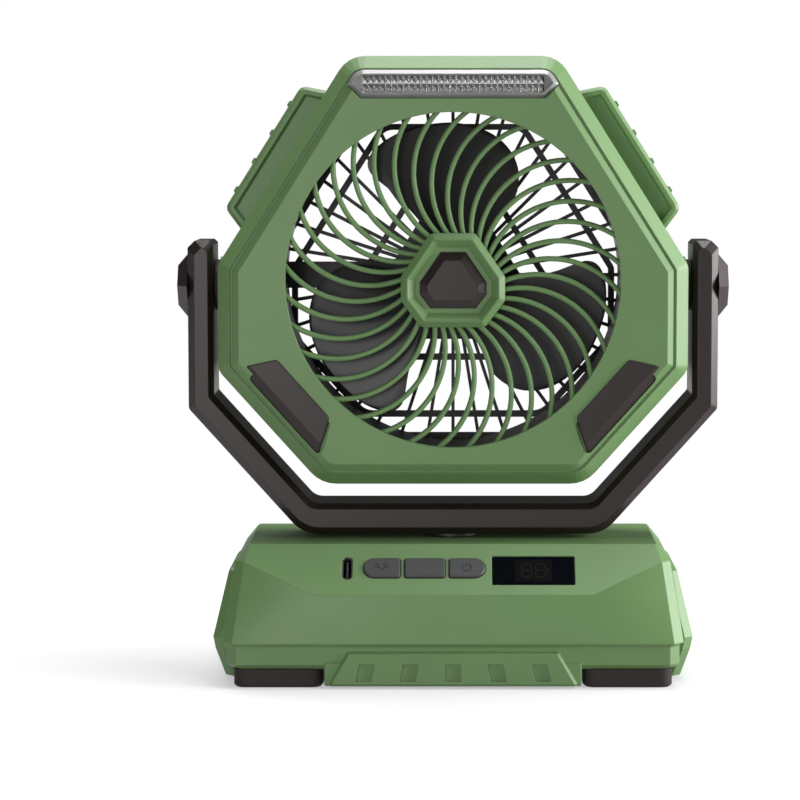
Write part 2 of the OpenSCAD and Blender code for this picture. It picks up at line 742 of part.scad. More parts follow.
// Half the angle of a tooth at a radius, from the involute of the pressure angle
function involute(a) = tan(a) * 180 / PI - a;
function tooth_half(teeth, r) =
    let (pitch_r = gear_module * teeth / 2, base_r = pitch_r * cos(pressure))
    90 / teeth - gear_backlash / pitch_r * 90 / PI + involute(pressure)
        - involute(acos(min(1, base_r / max(r, base_r))));
root_share = 1.2;
crest_share = 0.9;
function tooth(teeth, i) =
    let (
        pitch_r = gear_module * teeth / 2,
        low = pitch_r - root_share * gear_module,
        high = pitch_r + crest_share * gear_module,
        middle = 360 * i / teeth,
        levels = [for (k = [0:4]) low + (high - low) * k / 4]
    )
    concat(
        [for (r = levels) let (a = middle - tooth_half(teeth, r)) r * [cos(a), sin(a)]],
        [for (r = backwards(levels)) let (a = middle + tooth_half(teeth, r)) r * [cos(a), sin(a)]]);
function gear_outline(teeth) = [for (i = [0:teeth - 1]) each tooth(teeth, i)];

module swivel_gear() color(smoke) difference() {
    prism(gear_outline(gear_teeth), gear_z, gear_top);
    translate([0, 0, gear_z - cut]) cylinder(r = gear_step_r, h = gear_t + 2 * cut);
}

module swivel_bush() color(steel) difference() {
    union() {
        translate([0, 0, base_h - bush_len]) cylinder(r = post_r + bush_t, h = bush_len);
        translate([0, 0, base_h - bush_len]) cylinder(r = post_r + bush_t + bush_flange, h = bush_flange);
    }
    translate([0, 0, base_h - bush_len - cut]) cylinder(r = post_r + fit, h = bush_len + 2 * cut);
}

swivel_motor_r = 11;
swivel_motor_gap = 1.6;
swivel_shaft_r = 1.5;
swivel_shaft_bite = 3;
swivel_bore_d = 4;
swivel_motor_z = gear_top + swivel_motor_gap;
swivel_motor_top = base_h - base_wall - seat;
module at_pinion() translate([gear_distance, 0, 0]) children();
module swivel_motor() color(steel) at_pinion() difference() {
    translate([0, 0, swivel_motor_z]) cylinder(r = swivel_motor_r, h = swivel_motor_top - swivel_motor_z);
    translate([0, 0, swivel_motor_z - cut]) cylinder(r = swivel_shaft_r + fit, h = swivel_bore_d + cut);
}
module swivel_pinion() color(steel) at_pinion() {
    rotate(pinion_teeth % 2 == 0 ? 180 / pinion_teeth : 0)
        prism(gear_outline(pinion_teeth), gear_z, gear_top);
    translate([0, 0, gear_top - cut])
        cylinder(r = swivel_shaft_r, h = swivel_motor_gap + swivel_shaft_bite + cut);
}

// Base outline at a height: a front edge, a slanted corner and a side edge, alike at the back
function base_ring(front_half, front_y, side_half, side_y, inset) =
    let (q = [[front_half, -front_y], [side_half, -side_y], [side_half, side_y], [front_half, front_y]])
    rounded(both_sides(q), same_r(concat(q, q), base_corner_r), inset, 2);
base_corner_r = 1.6;
crease_z = 32.5;
shoulder_drop = 6.5;
shoulder_z = base_h - shoulder_drop;
base_edge = 0.8;
crease_half = 46;
crease_in = 2;
crease_side_in = 2.4;
crease_y = base_y - crease_in;
panel_run = crease_y - base_top_y;
panel_tilt = atan2(base_h - crease_z, panel_run);
shoulder_y = base_top_y + panel_run * (base_h - shoulder_z) / (base_h - crease_z);
shoulder_out = 6.2;
shoulder_corner = 4;
front_out = 2.5;
front_half = crease_half + front_out;
corner_y = 30;
crease_corner_y = 28.5;
top_corner = 2;
function crease_ring(inset) =
    base_ring(crease_half, crease_y, base_half_w - crease_side_in, crease_corner_y, inset);
function shoulder_ring(inset) = base_ring(base_top_half + top_corner, shoulder_y,
    base_top_half + shoulder_out, shoulder_y - shoulder_corner, inset);
function top_ring(out, inset) = base_ring(base_top_half - top_corner + out, base_top_y + out,
    base_top_half + out, base_top_y - top_corner + out, inset);
function base_rings(inset) = [
    [parting_z, base_ring(front_half, base_y, base_half_w, corner_y, inset)],
    [crease_z, crease_ring(inset)],
    [shoulder_z, shoulder_ring(inset)],
    [base_h - base_edge, top_ring(base_edge, inset)],
    [base_h, top_ring(0, inset)]];

module base_solid(inset) loft(base_rings(inset));

// Cavity of the upper shell. A slanted wall is thicker across than it is along its normal.
slant_share = 1.3;
slant_wall = slant_share * base_wall;
module base_cavity() loft([
    [parting_z - cut, base_ring(front_half, base_y, base_half_w, corner_y, base_wall)],
    [crease_z, crease_ring(slant_wall)],
    [shoulder_z, shoulder_ring(slant_wall)],
    [base_h - base_wall, top_ring(panel_run * base_wall / (base_h - crease_z), slant_wall)]]);

// The front panel's own plane: X across, Y up the slope from below its top edge, height outwards
panel_mid = 10.4;
module on_panel() translate([0, -base_top_y, base_h]) rotate([panel_tilt, 0, 0])
    translate([0, -panel_mid, 0]) children();

// Controls along the panel, left to right
usb_x = -36.7;
usb_w = 3.4;
usb_h = 9;
usb_wall = 0.35;
usb_tongue_w = 0.7;
usb_tongue_h = 6.7;
usb_tongue_in = 1.2;
usb_sink = 0.3;
usb_floor = 2;
buttons_x = -31.2;
button_gap = 1.4;
light_w = 12.9;
mode_w = 14.1;
power_w = 12.6;
button_r = 1;
button_room = 0.25;
button_flange = 0.5;
button_flange_t = 1;
button_bevel = 0.4;
switch_side = 6;
switch_h = 4;
switch_key_h = 0.6;
switch_room = 0.35;
display_x = 27.2;
display_r = 1.6;
display_t = 1.2;
display_rim = 1.5;
display_down = 0.9;
mode_x = buttons_x + light_w + button_gap;
power_x = mode_x + mode_w + button_gap;
buttons_end = power_x + power_w;
button_back = -base_wall - seat - button_flange_t;
board_top = button_back - button_travel - switch_room - switch_h;
board_t = 1.6;
board_h = 13;
board_half = 46.4;

function box_points(x0, x1, half) = [[x1, -half], [x1, half], [x0, half], [x0, -half]];
// An outline of a button from x0 to x1 with its own corner radius at each end
function button_outline(x0, x1, r0, r1, inset) =
    rounded(box_points(x0, x1, button_h / 2), [r1, r1, r0, r0], inset, 6);
round_end = button_h / 2 - fit;
function stadium(inset) = button_outline(buttons_x, buttons_end, round_end, round_end, inset);
function display_outline(inset) = moved(
    rounded(box_points(display_x - display_w / 2, display_x + display_w / 2, display_h / 2),
        [display_r, display_r, display_r, display_r], inset, 4), [0, -display_down]);
usb_r = usb_w / 2 - fit;
function usb_outline(inset) = rounded(
    box_points(usb_x - usb_w / 2, usb_x + usb_w / 2, usb_h / 2), [usb_r, usb_r, usb_r, usb_r], inset, 6);

base_screw_in = 17;
base_screw_y = 18;
base_screw_x = base_half_w - base_screw_in;
base_screw_points = [for (x = [-1, 1]) for (y = [-1, 1]) [x * base_screw_x, y * base_screw_y]];
base_screw_sink = 1;
base_boss_r = 3.6;
base_boss_top = base_h - base_wall / 2;
base_screw_depth = 12;
board_post_r = 1.8;
board_post_in = 3;
board_posts = [for (x = [-board_half + board_post_in, board_half - board_post_in]) [x, 0]];
bush_boss_t = 2;

module base_upper_shell() color(shell_green) difference() {
    union() {
        difference() {
            base_solid(0);
            base_cavity();
        }
        ring(post_r + bush_t + bush_boss_t, post_r + bush_t,
            base_h - bush_len + bush_flange + seat, base_h - cut);
        for (p = base_screw_points) translate([p.x, p.y, 0])
            ring(base_boss_r, screw_r, parting_z + seat, base_boss_top);
        on_panel() for (p = board_posts) translate([p.x, p.y, board_top + seat])
            cylinder(r = board_post_r, h = -board_top - seat - base_wall / 2);
    }
    translate([0, 0, base_h - base_wall - cut]) cylinder(r = post_r + bush_t, h = base_wall + 2 * cut);
    translate([0, 0, parting_z - base_y])
        cube([4 * base_half_w, 4 * base_y, 2 * base_y + seat], center = true);
    on_panel() {
        prism(stadium(-button_room), -2 * base_wall, cut);
        prism(display_outline(-seat), -display_t - fit, cut);
        prism(display_outline(display_rim), -2 * base_wall, cut);
        prism(usb_outline(-button_room), -2 * base_wall, cut);
    }
}

// Lower shell: a tray with a raised bumper at the front and the back
skirt_inset = 1.4;
skirt_bevel = 1.6;
bumper_low = 1.6;
bumper_high = 12.2;
bumper_half = 43.5;
bumper_low_half = 41;
bumper_top_half = 35.7;
bumper_chamfer = 3;
bumper_r = 1.2;
bumper_points = both_sides([
    [bumper_low_half, bumper_low], [bumper_half, bumper_low + bumper_chamfer],
    [bumper_top_half, bumper_high]]);
bumper_deep = 7;
bumper_bevel = 1;
slot_count = 5;
slot_pitch = 15.7;
slot_w = 5.4;
slot_low = 4.4;
slot_high = 9.1;
slot_d = 1.1;
slot_lean = 0.8;
function bumper_outline(inset) = rounded(bumper_points, same_r(bumper_points, bumper_r), inset, 3);
function skirt_ring(inset) = base_ring(front_half, base_y, base_half_w, corner_y, inset);
skirt_edge = 1;
skirt_edge_inset = 0.4;
module lower_solid(inset) loft([
    [foot_h - inset, skirt_ring(skirt_inset + skirt_bevel + inset)],
    [foot_h + skirt_bevel - inset, skirt_ring(skirt_inset + inset)],
    [parting_z - skirt_edge, skirt_ring(skirt_inset + inset)],
    [parting_z, skirt_ring(skirt_edge_inset + inset)]]);

module bumper() translate([0, -base_y + bumper_deep, 0]) rotate([90, 0, 0]) difference() {
    loft([
        [0, bumper_outline(0)],
        [bumper_deep - bumper_bevel, bumper_outline(0)],
        [bumper_deep, bumper_outline(bumper_bevel)]]);
    for (i = [0:slot_count - 1])
        let (side = i - (slot_count - 1) / 2, x = side * slot_pitch, lean = side * slot_lean)
        prism([
            [x - slot_w / 2 + lean, slot_low], [x + slot_w / 2 + lean, slot_low],
            [x + slot_w / 2 - lean, slot_high], [x - slot_w / 2 - lean, slot_high]],
            bumper_deep - slot_d, bumper_deep + cut);
}

module base_lower_shell() color(shell_green) difference() {
    union() {
        difference() {
            lower_solid(0);
            loft([
                [foot_h + base_wall, skirt_ring(skirt_inset + skirt_bevel + base_wall)],
                [foot_h + base_wall + skirt_bevel, skirt_ring(skirt_inset + base_wall)],
                [parting_z + cut, skirt_ring(skirt_inset + base_wall)]]);
        }
        for (s = [0, 1]) mirror([0, s, 0]) bumper();
        for (p = base_screw_points) translate([p.x, p.y, 0])
            ring(base_boss_r, screw_r + fit, foot_h + base_wall / 2, parting_z - seat);
    }
    for (p = base_screw_points) translate([p.x, p.y, foot_h - cut]) {
        cylinder(r = screw_r + fit, h = base_h);
        cylinder(r = screw_head_r + fit, h = screw_head_h + base_screw_sink + cut);
    }
}

module base_screws() color(steel) for (p = base_screw_points)
    translate([p.x, p.y, foot_h + base_screw_sink]) {
        cylinder(r = screw_head_r, h = screw_head_h);
        cylinder(r = screw_r - fit, h = base_screw_depth);
    }

// Feet and end plates
foot_in = 45;
foot_out = 76;
foot_r = 4;
foot_bevel = 0.8;
foot_in_y = 2.5;
foot_y = base_y - foot_in_y;
foot_points = [[foot_out, -foot_y], [foot_out, foot_y], [foot_in, foot_y], [foot_in, -foot_y]];
function foot_outline(inset) = rounded(foot_points, same_r(foot_points, foot_r), inset, 5);
module foot() loft([
    [0, foot_outline(foot_bevel)],
    [foot_bevel, foot_outline(0)],
    [foot_h - seat / 2, foot_outline(0)]]);
module foot_right() color(trim_black) foot();
module foot_left() color(trim_black) mirror([1, 0, 0]) foot();

plate_bevel = 3;
plate_lap = 10;
plate_in = base_half_w - plate_lap;
plate_widest = base_half_w + plate_out;
function plate_ring(out, half) = [
    [plate_in, -half], [out - plate_bevel, -half], [out, -half + plate_bevel],
    [out, half - plate_bevel], [out - plate_bevel, half], [plate_in, half]];
// Sections of a plate from the bottom up: how far each lies within its widest outline, across and along
plate_low = 1.2;
plate_low_in = [4, 5];
plate_edge_z = 4;
plate_edge_in = [0.8, 1];
plate_wide_in = [0, 1];
plate_high_in = [5.2, 6.5];
plate_top_in = [7.6, 8];
plate_top_edge = 2;
plate_top_drop = 1.5;
plate_top = shoulder_z - plate_top_drop;
function plate_section(in) = plate_ring(plate_widest - in.x, corner_y - in.y);
module end_plate() difference() {
    loft([
        [plate_low, plate_section(plate_low_in)],
        [parting_z - plate_edge_z, plate_section(plate_edge_in)],
        [parting_z, plate_section(plate_wide_in)],
        [plate_top - plate_top_edge, plate_section(plate_high_in)],
        [plate_top, plate_section(plate_top_in)]]);
    base_solid(-seat);
    lower_solid(-seat);
    translate([0, 0, -cut]) loft([
        [0, foot_outline(-seat)], [foot_h + 2 * cut, foot_outline(-seat)]]);
}
module end_plate_right() color(shell_green) end_plate();
module end_plate_left() color(shell_green) mirror([1, 0, 0]) end_plate();

// Buttons, display, socket and board
module button(x0, x1, r0, r1) color(button_grey) on_panel() {
    loft([
        [button_back, button_outline(x0, x1, r0, r1, -button_flange)],
        [button_back + button_flange_t, button_outline(x0, x1, r0, r1, -button_flange)]]);
    loft([
        [button_back + button_flange_t - seat, button_outline(x0, x1, r0, r1, 0)],
        [button_out - button_bevel, button_outline(x0, x1, r0, r1, 0)],
        [button_out, button_outline(x0, x1, r0, r1, button_bevel)]]);
}
module button_light() button(buttons_x, buttons_x + light_w, round_end, button_r);
module button_mode() button(mode_x, mode_x + mode_w, button_r, button_r);
module button_power() button(power_x, power_x + power_w, button_r, round_end);

module button_switches() color(trim_black) on_panel()
    for (x = [buttons_x + light_w / 2, mode_x + mode_w / 2, power_x + power_w / 2])
        translate([x, 0, board_top + seat / 2]) {
            translate([-switch_side / 2, -switch_side / 2, 0])
                cube([switch_side, switch_side, switch_h - switch_key_h]);
            cylinder(r = switch_side / 4, h = switch_h - seat / 2);
        }

module display_window() color(glass_black) on_panel() prism(display_outline(0), -display_t, 0);
module display_module() color(trim_black) on_panel()
    prism(display_outline(display_rim + seat), board_top + seat / 2, -display_t - seat);

module usb_socket() color(steel) on_panel() difference() {
    prism(usb_outline(0), board_top + seat / 2, -usb_sink);
    difference() {
        prism(usb_outline(usb_wall), board_top + usb_floor, 0);
        translate([usb_x - usb_tongue_w / 2, -usb_tongue_h / 2, board_top])
            cube([usb_tongue_w, usb_tongue_h, -board_top - usb_tongue_in]);
    }
}

module control_board() color(board_green) on_panel()
    translate([-board_half, -board_h / 2, board_top - board_t]) cube([2 * board_half, board_h, board_t]);

// Battery
holder_wall = 2;
holder_floor = 1;
holder_h = 7;
holder_share = 0.8;
cell_gap = 1.2;
cell_y = cell_r + cell_gap / 2;
cell_z = foot_h + base_wall + seat + holder_floor + cell_r;
module cells(room) for (s = [-1, 1]) translate([-cell_len / 2 - room, s * cell_y, cell_z]) rotate([0, 90, 0])
    cylinder(r = cell_r + room, h = cell_len + 2 * room);
module battery_cells() color(steel) cells(0);
module battery_holder() color(trim_black) difference() {
    translate([-cell_len / 2 - holder_wall, -cell_y - holder_share * cell_r, foot_h + base_wall + seat])
        cube([cell_len + 2 * holder_wall, 2 * (cell_y + holder_share * cell_r), holder_h]);
    cells(seat);
}

front_shell();
front_grille();
hub_boss();
hub_cap();
lamp_lens();
lamp_board();
corner_pad_left();
corner_pad_right();
rear_shell();
rear_guard();
fan_duct();
fan_motor();
motor_bearing();
motor_shaft();
impeller();
head_screws();
pivot_pin_left();
pivot_pin_right();
tilt_washer_left();
tilt_washer_right();
yoke();
pivot_cap_left();
pivot_cap_right();
swivel_post();
swivel_gear();
swivel_bush();
swivel_motor();
swivel_pinion();
base_upper_shell();
base_lower_shell();
end_plate_left();
end_plate_right();
foot_left();
foot_right();
button_light();
button_mode();
button_power();
button_switches();
display_window();
display_module();
usb_socket();
control_board();
battery_holder();
battery_cells();
base_screws();
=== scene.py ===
import json
import math

import bmesh
import bpy
from bpy.props import FloatProperty, FloatVectorProperty, IntProperty, PointerProperty
from mathutils import Matrix, Vector
from mathutils.geometry import tessellate_polygon


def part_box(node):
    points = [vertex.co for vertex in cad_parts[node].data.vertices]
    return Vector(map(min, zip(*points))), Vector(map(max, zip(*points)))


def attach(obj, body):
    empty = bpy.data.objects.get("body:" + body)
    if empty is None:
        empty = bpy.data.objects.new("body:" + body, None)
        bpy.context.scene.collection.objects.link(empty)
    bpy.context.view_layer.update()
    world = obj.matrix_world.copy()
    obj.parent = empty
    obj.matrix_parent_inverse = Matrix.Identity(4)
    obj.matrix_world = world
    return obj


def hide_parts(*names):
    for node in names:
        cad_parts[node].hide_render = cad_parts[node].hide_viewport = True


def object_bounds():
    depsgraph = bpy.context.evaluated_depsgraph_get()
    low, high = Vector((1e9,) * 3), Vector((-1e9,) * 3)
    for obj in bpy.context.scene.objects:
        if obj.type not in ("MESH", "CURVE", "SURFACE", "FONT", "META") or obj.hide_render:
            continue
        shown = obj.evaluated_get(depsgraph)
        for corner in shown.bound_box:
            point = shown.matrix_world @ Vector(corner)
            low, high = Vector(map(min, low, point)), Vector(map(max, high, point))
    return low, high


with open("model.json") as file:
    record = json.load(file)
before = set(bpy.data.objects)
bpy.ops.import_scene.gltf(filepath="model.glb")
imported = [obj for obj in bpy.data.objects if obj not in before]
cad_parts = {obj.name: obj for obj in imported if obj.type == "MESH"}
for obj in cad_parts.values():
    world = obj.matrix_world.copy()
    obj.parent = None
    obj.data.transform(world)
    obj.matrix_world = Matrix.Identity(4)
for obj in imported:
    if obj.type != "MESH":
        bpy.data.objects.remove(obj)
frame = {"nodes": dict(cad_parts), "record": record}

bl_info = {
    "name": "Camping fan dresser",
    "version": (1, 0, 0),
    "blender": (4, 5, 0),
    "location": "3D View > Sidebar > Camping Fan",
    "description": "Finishes and fine pieces for a portable camping fan built around its CAD frame",
    "category": "Object",
}

CAD_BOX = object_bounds()
NODES = frame["nodes"]
MM = 0.001

# Vertices nearer than this are one, in a piece and in a CAD mesh. No rounded corner is sharper than the last.

MERGE = 0.01 * MM
CAD_MERGE = 0.001 * MM
SHARPEST = 0.05 * MM


def nearby(node):
    """The middle and the size of a CAD node's box, as vectors in metres."""
    low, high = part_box(node)
    return (low + high) / 2, high - low


# Measures that several pieces share, from the frame where it has them

FAN_AXIS_Z = nearby("fan_duct")[0].z
FAN_PIVOT_Z = nearby("pivot_pin_left")[0].z
FACE_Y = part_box("front_shell")[0].y

HEAD_CORNER = Vector((64.5, -49.476)) * MM
HEAD_SLANT = Vector((0.6685, 0.7437))
HEAD_OUTWARD = Vector((0.7437, -0.6685))
CORNER_DISTANCE = 81.04 * MM

HUB_HALF_WIDTH = 18.2 * MM
HUB_SHARES = ((0.615, -0.896), (1, -0.385), (1, 0.077), (0.429, 0.907))
HUB_HALF = [(HUB_HALF_WIDTH * x, HUB_HALF_WIDTH * y) for x, y in HUB_SHARES]
HUB_ROUND = 2.4 * MM

COVER_SHIFT = 0.7 * MM

# The case's outline at each height, in mm: how far across and forwards the three corners of its front lie

CASE_RINGS = (
    (15.55, ((48.4, 41.95), (76.4, 41.95), (79.9, 38.0))),
    (32.5, ((48.4, 40.0), (74.1, 34.67), (77.5, 31.05))),
    (42.4, ((48.4, 30.42), (72.8, 30.42), (75.9, 27.0))),
    (47.3, ((48.4, 25.68), (71.0, 25.68), (71.9, 24.7))),
    (48.0, ((48.4, 25.0), (70.5, 25.0), (71.2, 24.2))))
CASE_INSIDE = (
    (15.55, ((48.4, 39.6), (75.0, 39.6), (77.5, 36.8))),
    (31.53, ((48.4, 37.6), (71.9, 32.6), (74.5, 29.6))),
    (41.45, ((48.4, 28.0), (70.2, 28.0), (72.5, 25.5))),
    (45.6, ((48.4, 23.98), (68.8, 23.98), (69.5, 23.2))))

# A blade from root to tip: shares of its radius, and the angles of both its edges there, in degrees

BLADE_RADIUS_SHARES = (0.27, 0.38, 0.52, 0.66, 0.78, 0.87, 0.94, 0.98, 1.0)
BLADE_LEADING = (116, 119, 122, 124.5, 127, 127.8, 125, 118, 108)
BLADE_TRAILING = (52, 51.5, 51.5, 52.5, 57, 63, 71, 80, 90)
BLADE_LOW, BLADE_HIGH = 52, 128


# Mesh building. A section is a closed list of points, and a loft joins sections of equal length.


def on_face(x, up, out):
    """A point given across and up from the fan's axis, and out from the head's face, all in metres."""
    return Vector((x, FACE_Y - out, FAN_AXIS_Z + up))


def panel_frame():
    """Directions of the control panel: across, up the slope, and straight out of it."""
    joints = frame["record"]["behaviour"]["joints"]
    press = next(joint for joint in joints if joint["name"] == "light_press")
    out = -Vector(press["axis"]).normalized()
    across = Vector((1, 0, 0))
    return across, out.cross(across), out


def on_panel(middle, height):
    """Gives a function that places (x, y, out) about a middle, at a height along the panel's normal."""
    across, up, out = panel_frame()
    foot = middle + out * (height - middle.dot(out))

    def place(x, y, h=0.0):
        return foot + across * x + up * y + out * h
    return place


def cover_middle():
    """Middle of the display's cover, a little to the right of its CAD node."""
    return nearby("display_window")[0] + panel_frame()[0] * COVER_SHIFT


def circle(radius, count):
    """Points of a circle about the origin, counterclockwise from the right."""
    turns = (2 * math.pi * i / count for i in range(count))
    return [Vector((radius * math.cos(t), radius * math.sin(t))) for t in turns]


def corner(before, at, after, radius, inset, steps):
    """Points of the arc that rounds one corner of a counterclockwise outline drawn in by an inset."""
    n1 = (at - before).orthogonal().normalized()
    n2 = (after - at).orthogonal().normalized()
    side = 1 if n1.cross(n2) >= 0 else -1
    round_r = max(radius - side * inset, SHARPEST)
    centre = at + (inset + side * round_r) * (n1 + n2) / (1 + n1.dot(n2))
    start = math.atan2(n1.y, n1.x)
    turn = side * math.acos(max(-1.0, min(1.0, n1.dot(n2))))
    ways = [start + turn * i / steps for i in range(steps + 1)]
    return [centre - side * round_r * Vector((math.cos(way), math.sin(way))) for way in ways]


def rounded(points, radii, inset=0.0, steps=4):
    """A counterclockwise outline with its corners rounded, drawn in by an inset."""
    count = len(points)
    arcs = [
        corner(points[i - 1], points[i], points[(i + 1) % count], radii[i], inset, steps)
        for i in range(count)]
    return [p for arc in arcs for p in arc]


def both_sides(half):
    """Vectors of an outline's right half, bottom to top, followed by their mirror images, top to bottom."""
    right = [Vector(p) for p in half]
    return right + [Vector((-p.x, p.y)) for p in reversed(right)]


def upright(half_w, half_h):
    """Corners of a rectangle about the origin."""
    return both_sides([(half_w, -half_h), (half_w, half_h)])


def bridge(bm, low, high):
    """Joins two rings of vertices by a band of faces."""
    for i in range(len(low)):
        j = (i + 1) % len(low)
        bm.faces.new((low[i], low[j], high[j], high[i]))


def loft(bm, sections, caps=True):
    """Skins the sections in order. Each is a list of vectors of the same length."""
    rows = [[bm.verts.new(p) for p in section] for section in sections]
    for low, high in zip(rows, rows[1:]):
        bridge(bm, low, high)
    if caps:
        bm.faces.new(reversed(rows[0]))
        bm.faces.new(rows[-1])
    return rows


def raised(bm, place, outline, radii, profile, steps=4, caps=True):
    """Skins a rounded outline through a profile of (inset, out), put in space by a function."""
    return loft(bm, [
        [place(p.x, p.y, out) for p in rounded(outline, radii, inset, steps)]
        for inset, out in profile], caps)


def raised_hub(bm, profile, steps=4):
    """The outline of the boss in the grille's middle, skinned through a profile of (inset, out)."""
    raised(bm, on_face, both_sides(HUB_HALF), [HUB_ROUND] * 8, profile, steps)


def revolve(bm, profile, count):
    """A closed profile of (radius, out) turned about the fan's axis."""
    sections = [[on_face(p.x, p.y, out) for p in circle(radius, count)] for radius, out in profile]
    loft(bm, sections + sections[:1], caps=False)
    bmesh.ops.remove_doubles(bm, verts=bm.verts, dist=MERGE)


def fill(bm, outline, holes=()):
    """Fills a flat ring of vertices, around the rings of its holes."""
    rings = [outline, *holes]
    verts = [v for ring in rings for v in ring]
    for triangle in tessellate_polygon([[v.co for v in ring] for ring in rings]):
        bm.faces.new([verts[i] for i in triangle])


def level_ring(bm, x, y, z, radius, count):
    """A level ring of vertices round a point."""
    return [bm.verts.new((x + p.x, y + p.y, z)) for p in circle(radius, count)]


def tube(bm, x, y, low, high, inner, outer, count=32):
    """An upright tube round a point of the ground."""
    rings = [
        level_ring(bm, x, y, z, radius, count)
        for radius, z in ((inner, low), (outer, low), (outer, high), (inner, high))]
    for low_ring, high_ring in zip(rings, rings[1:] + rings[:1]):
        bridge(bm, low_ring, high_ring)


def stroke(bm, place, points, width, height):
    """A raised line of even width along flat points, put in space by a function of (x, y, out)."""
    shoulder, crown = 0.6, 0.3
    profile = (
        (0, -height), (0, height * shoulder), (crown, height), (1 - crown, height),
        (1, height * shoulder), (1, -height))
    sections = []
    for i, p in enumerate(points):
        before, after = points[max(i - 1, 0)], points[min(i + 1, len(points) - 1)]
        way = Vector((after[0] - before[0], after[1] - before[1])).normalized()
        side = Vector((-way.y, way.x)) * width / 2
        left, right = Vector(p) + side, Vector(p) - side
        sections.append([place(*left.lerp(right, share), out) for share, out in profile])
    loft(bm, sections)


def piece(name, bm, body, slot, *finishes, smooth_angle=0.6):
    """Makes an object of the mesh in its finishes, smooth below an angle, that rides on a body."""
    bmesh.ops.recalc_face_normals(bm, faces=bm.faces)
    mesh = bpy.data.meshes.new(name)
    bm.to_mesh(mesh)
    bm.free()
    made = bpy.data.objects.new(name, mesh)
    bpy.context.scene.collection.objects.link(made)
    for key in finishes:
        mesh.materials.append(make_finish(key))
    mesh.shade_smooth()
    mesh.set_sharp_from_angle(angle=smooth_angle)
    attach(made, body)
    return made


def islands(node):
    """The low and high corners of each separate solid in a CAD node."""
    bm = bmesh.new()
    bm.from_mesh(NODES[node].data)
    bmesh.ops.remove_doubles(bm, verts=bm.verts, dist=CAD_MERGE)
    left = set(bm.verts)
    boxes = []
    while left:
        found = [left.pop()]
        for vert in found:
            for edge in vert.link_edges:
                other = edge.other_vert(vert)
                if other in left:
                    left.discard(other)
                    found.append(other)
        boxes.append(tuple(
            Vector([choose(v.co[k] for v in found) for k in range(3)]) for choose in (min, max)))
    bm.free()
    return sorted(boxes, key=lambda pair: tuple(pair[0]))


def furthest(node, direction):
    """How far a CAD node reaches along a direction."""
    return max(v.co.dot(direction) for v in NODES[node].data.vertices)


def eased(table, share):
    """A value between the entries of a table, along a smooth curve through them."""
    at = min(share, 0.9999) * (len(table) - 1)
    i = int(at)
    t = at - i
    a, b = table[i], table[i + 1]
    before = table[i - 1] if i > 0 else 2 * a - b
    after = table[i + 2] if i + 2 < len(table) else 2 * b - a
    bend = 2 * before - 5 * a + 4 * b - after + t * (3 * (a - b) + after - before)
    return a + 0.5 * t * (b - before + t * bend)


# Shader building


class Value:
    """A shader socket that Python's operators can work with."""

    def __init__(self, recipe, socket):
        self.recipe = recipe
        self.socket = socket

    def work(self, operation, *terms):
        return self.recipe.node("ShaderNodeMath", {"operation": operation}, dict(enumerate(terms)))

    def __add__(self, other):
        return self.work("ADD", self, other)

    def __radd__(self, other):
        return self.work("ADD", other, self)

    def __sub__(self, other):
        return self.work("SUBTRACT", self, other)

    def __rsub__(self, other):
        return self.work("SUBTRACT", other, self)

    def __mul__(self, other):
        return self.work("MULTIPLY", self, other)

    def __rmul__(self, other):
        return self.work("MULTIPLY", other, self)

    def ramped(self, low, high):
        """0 at low, 1 at high, and even between them."""
        return self.recipe.node(
            "ShaderNodeMapRange", {"clamp": True}, {"Value": self, "From Min": low, "From Max": high})


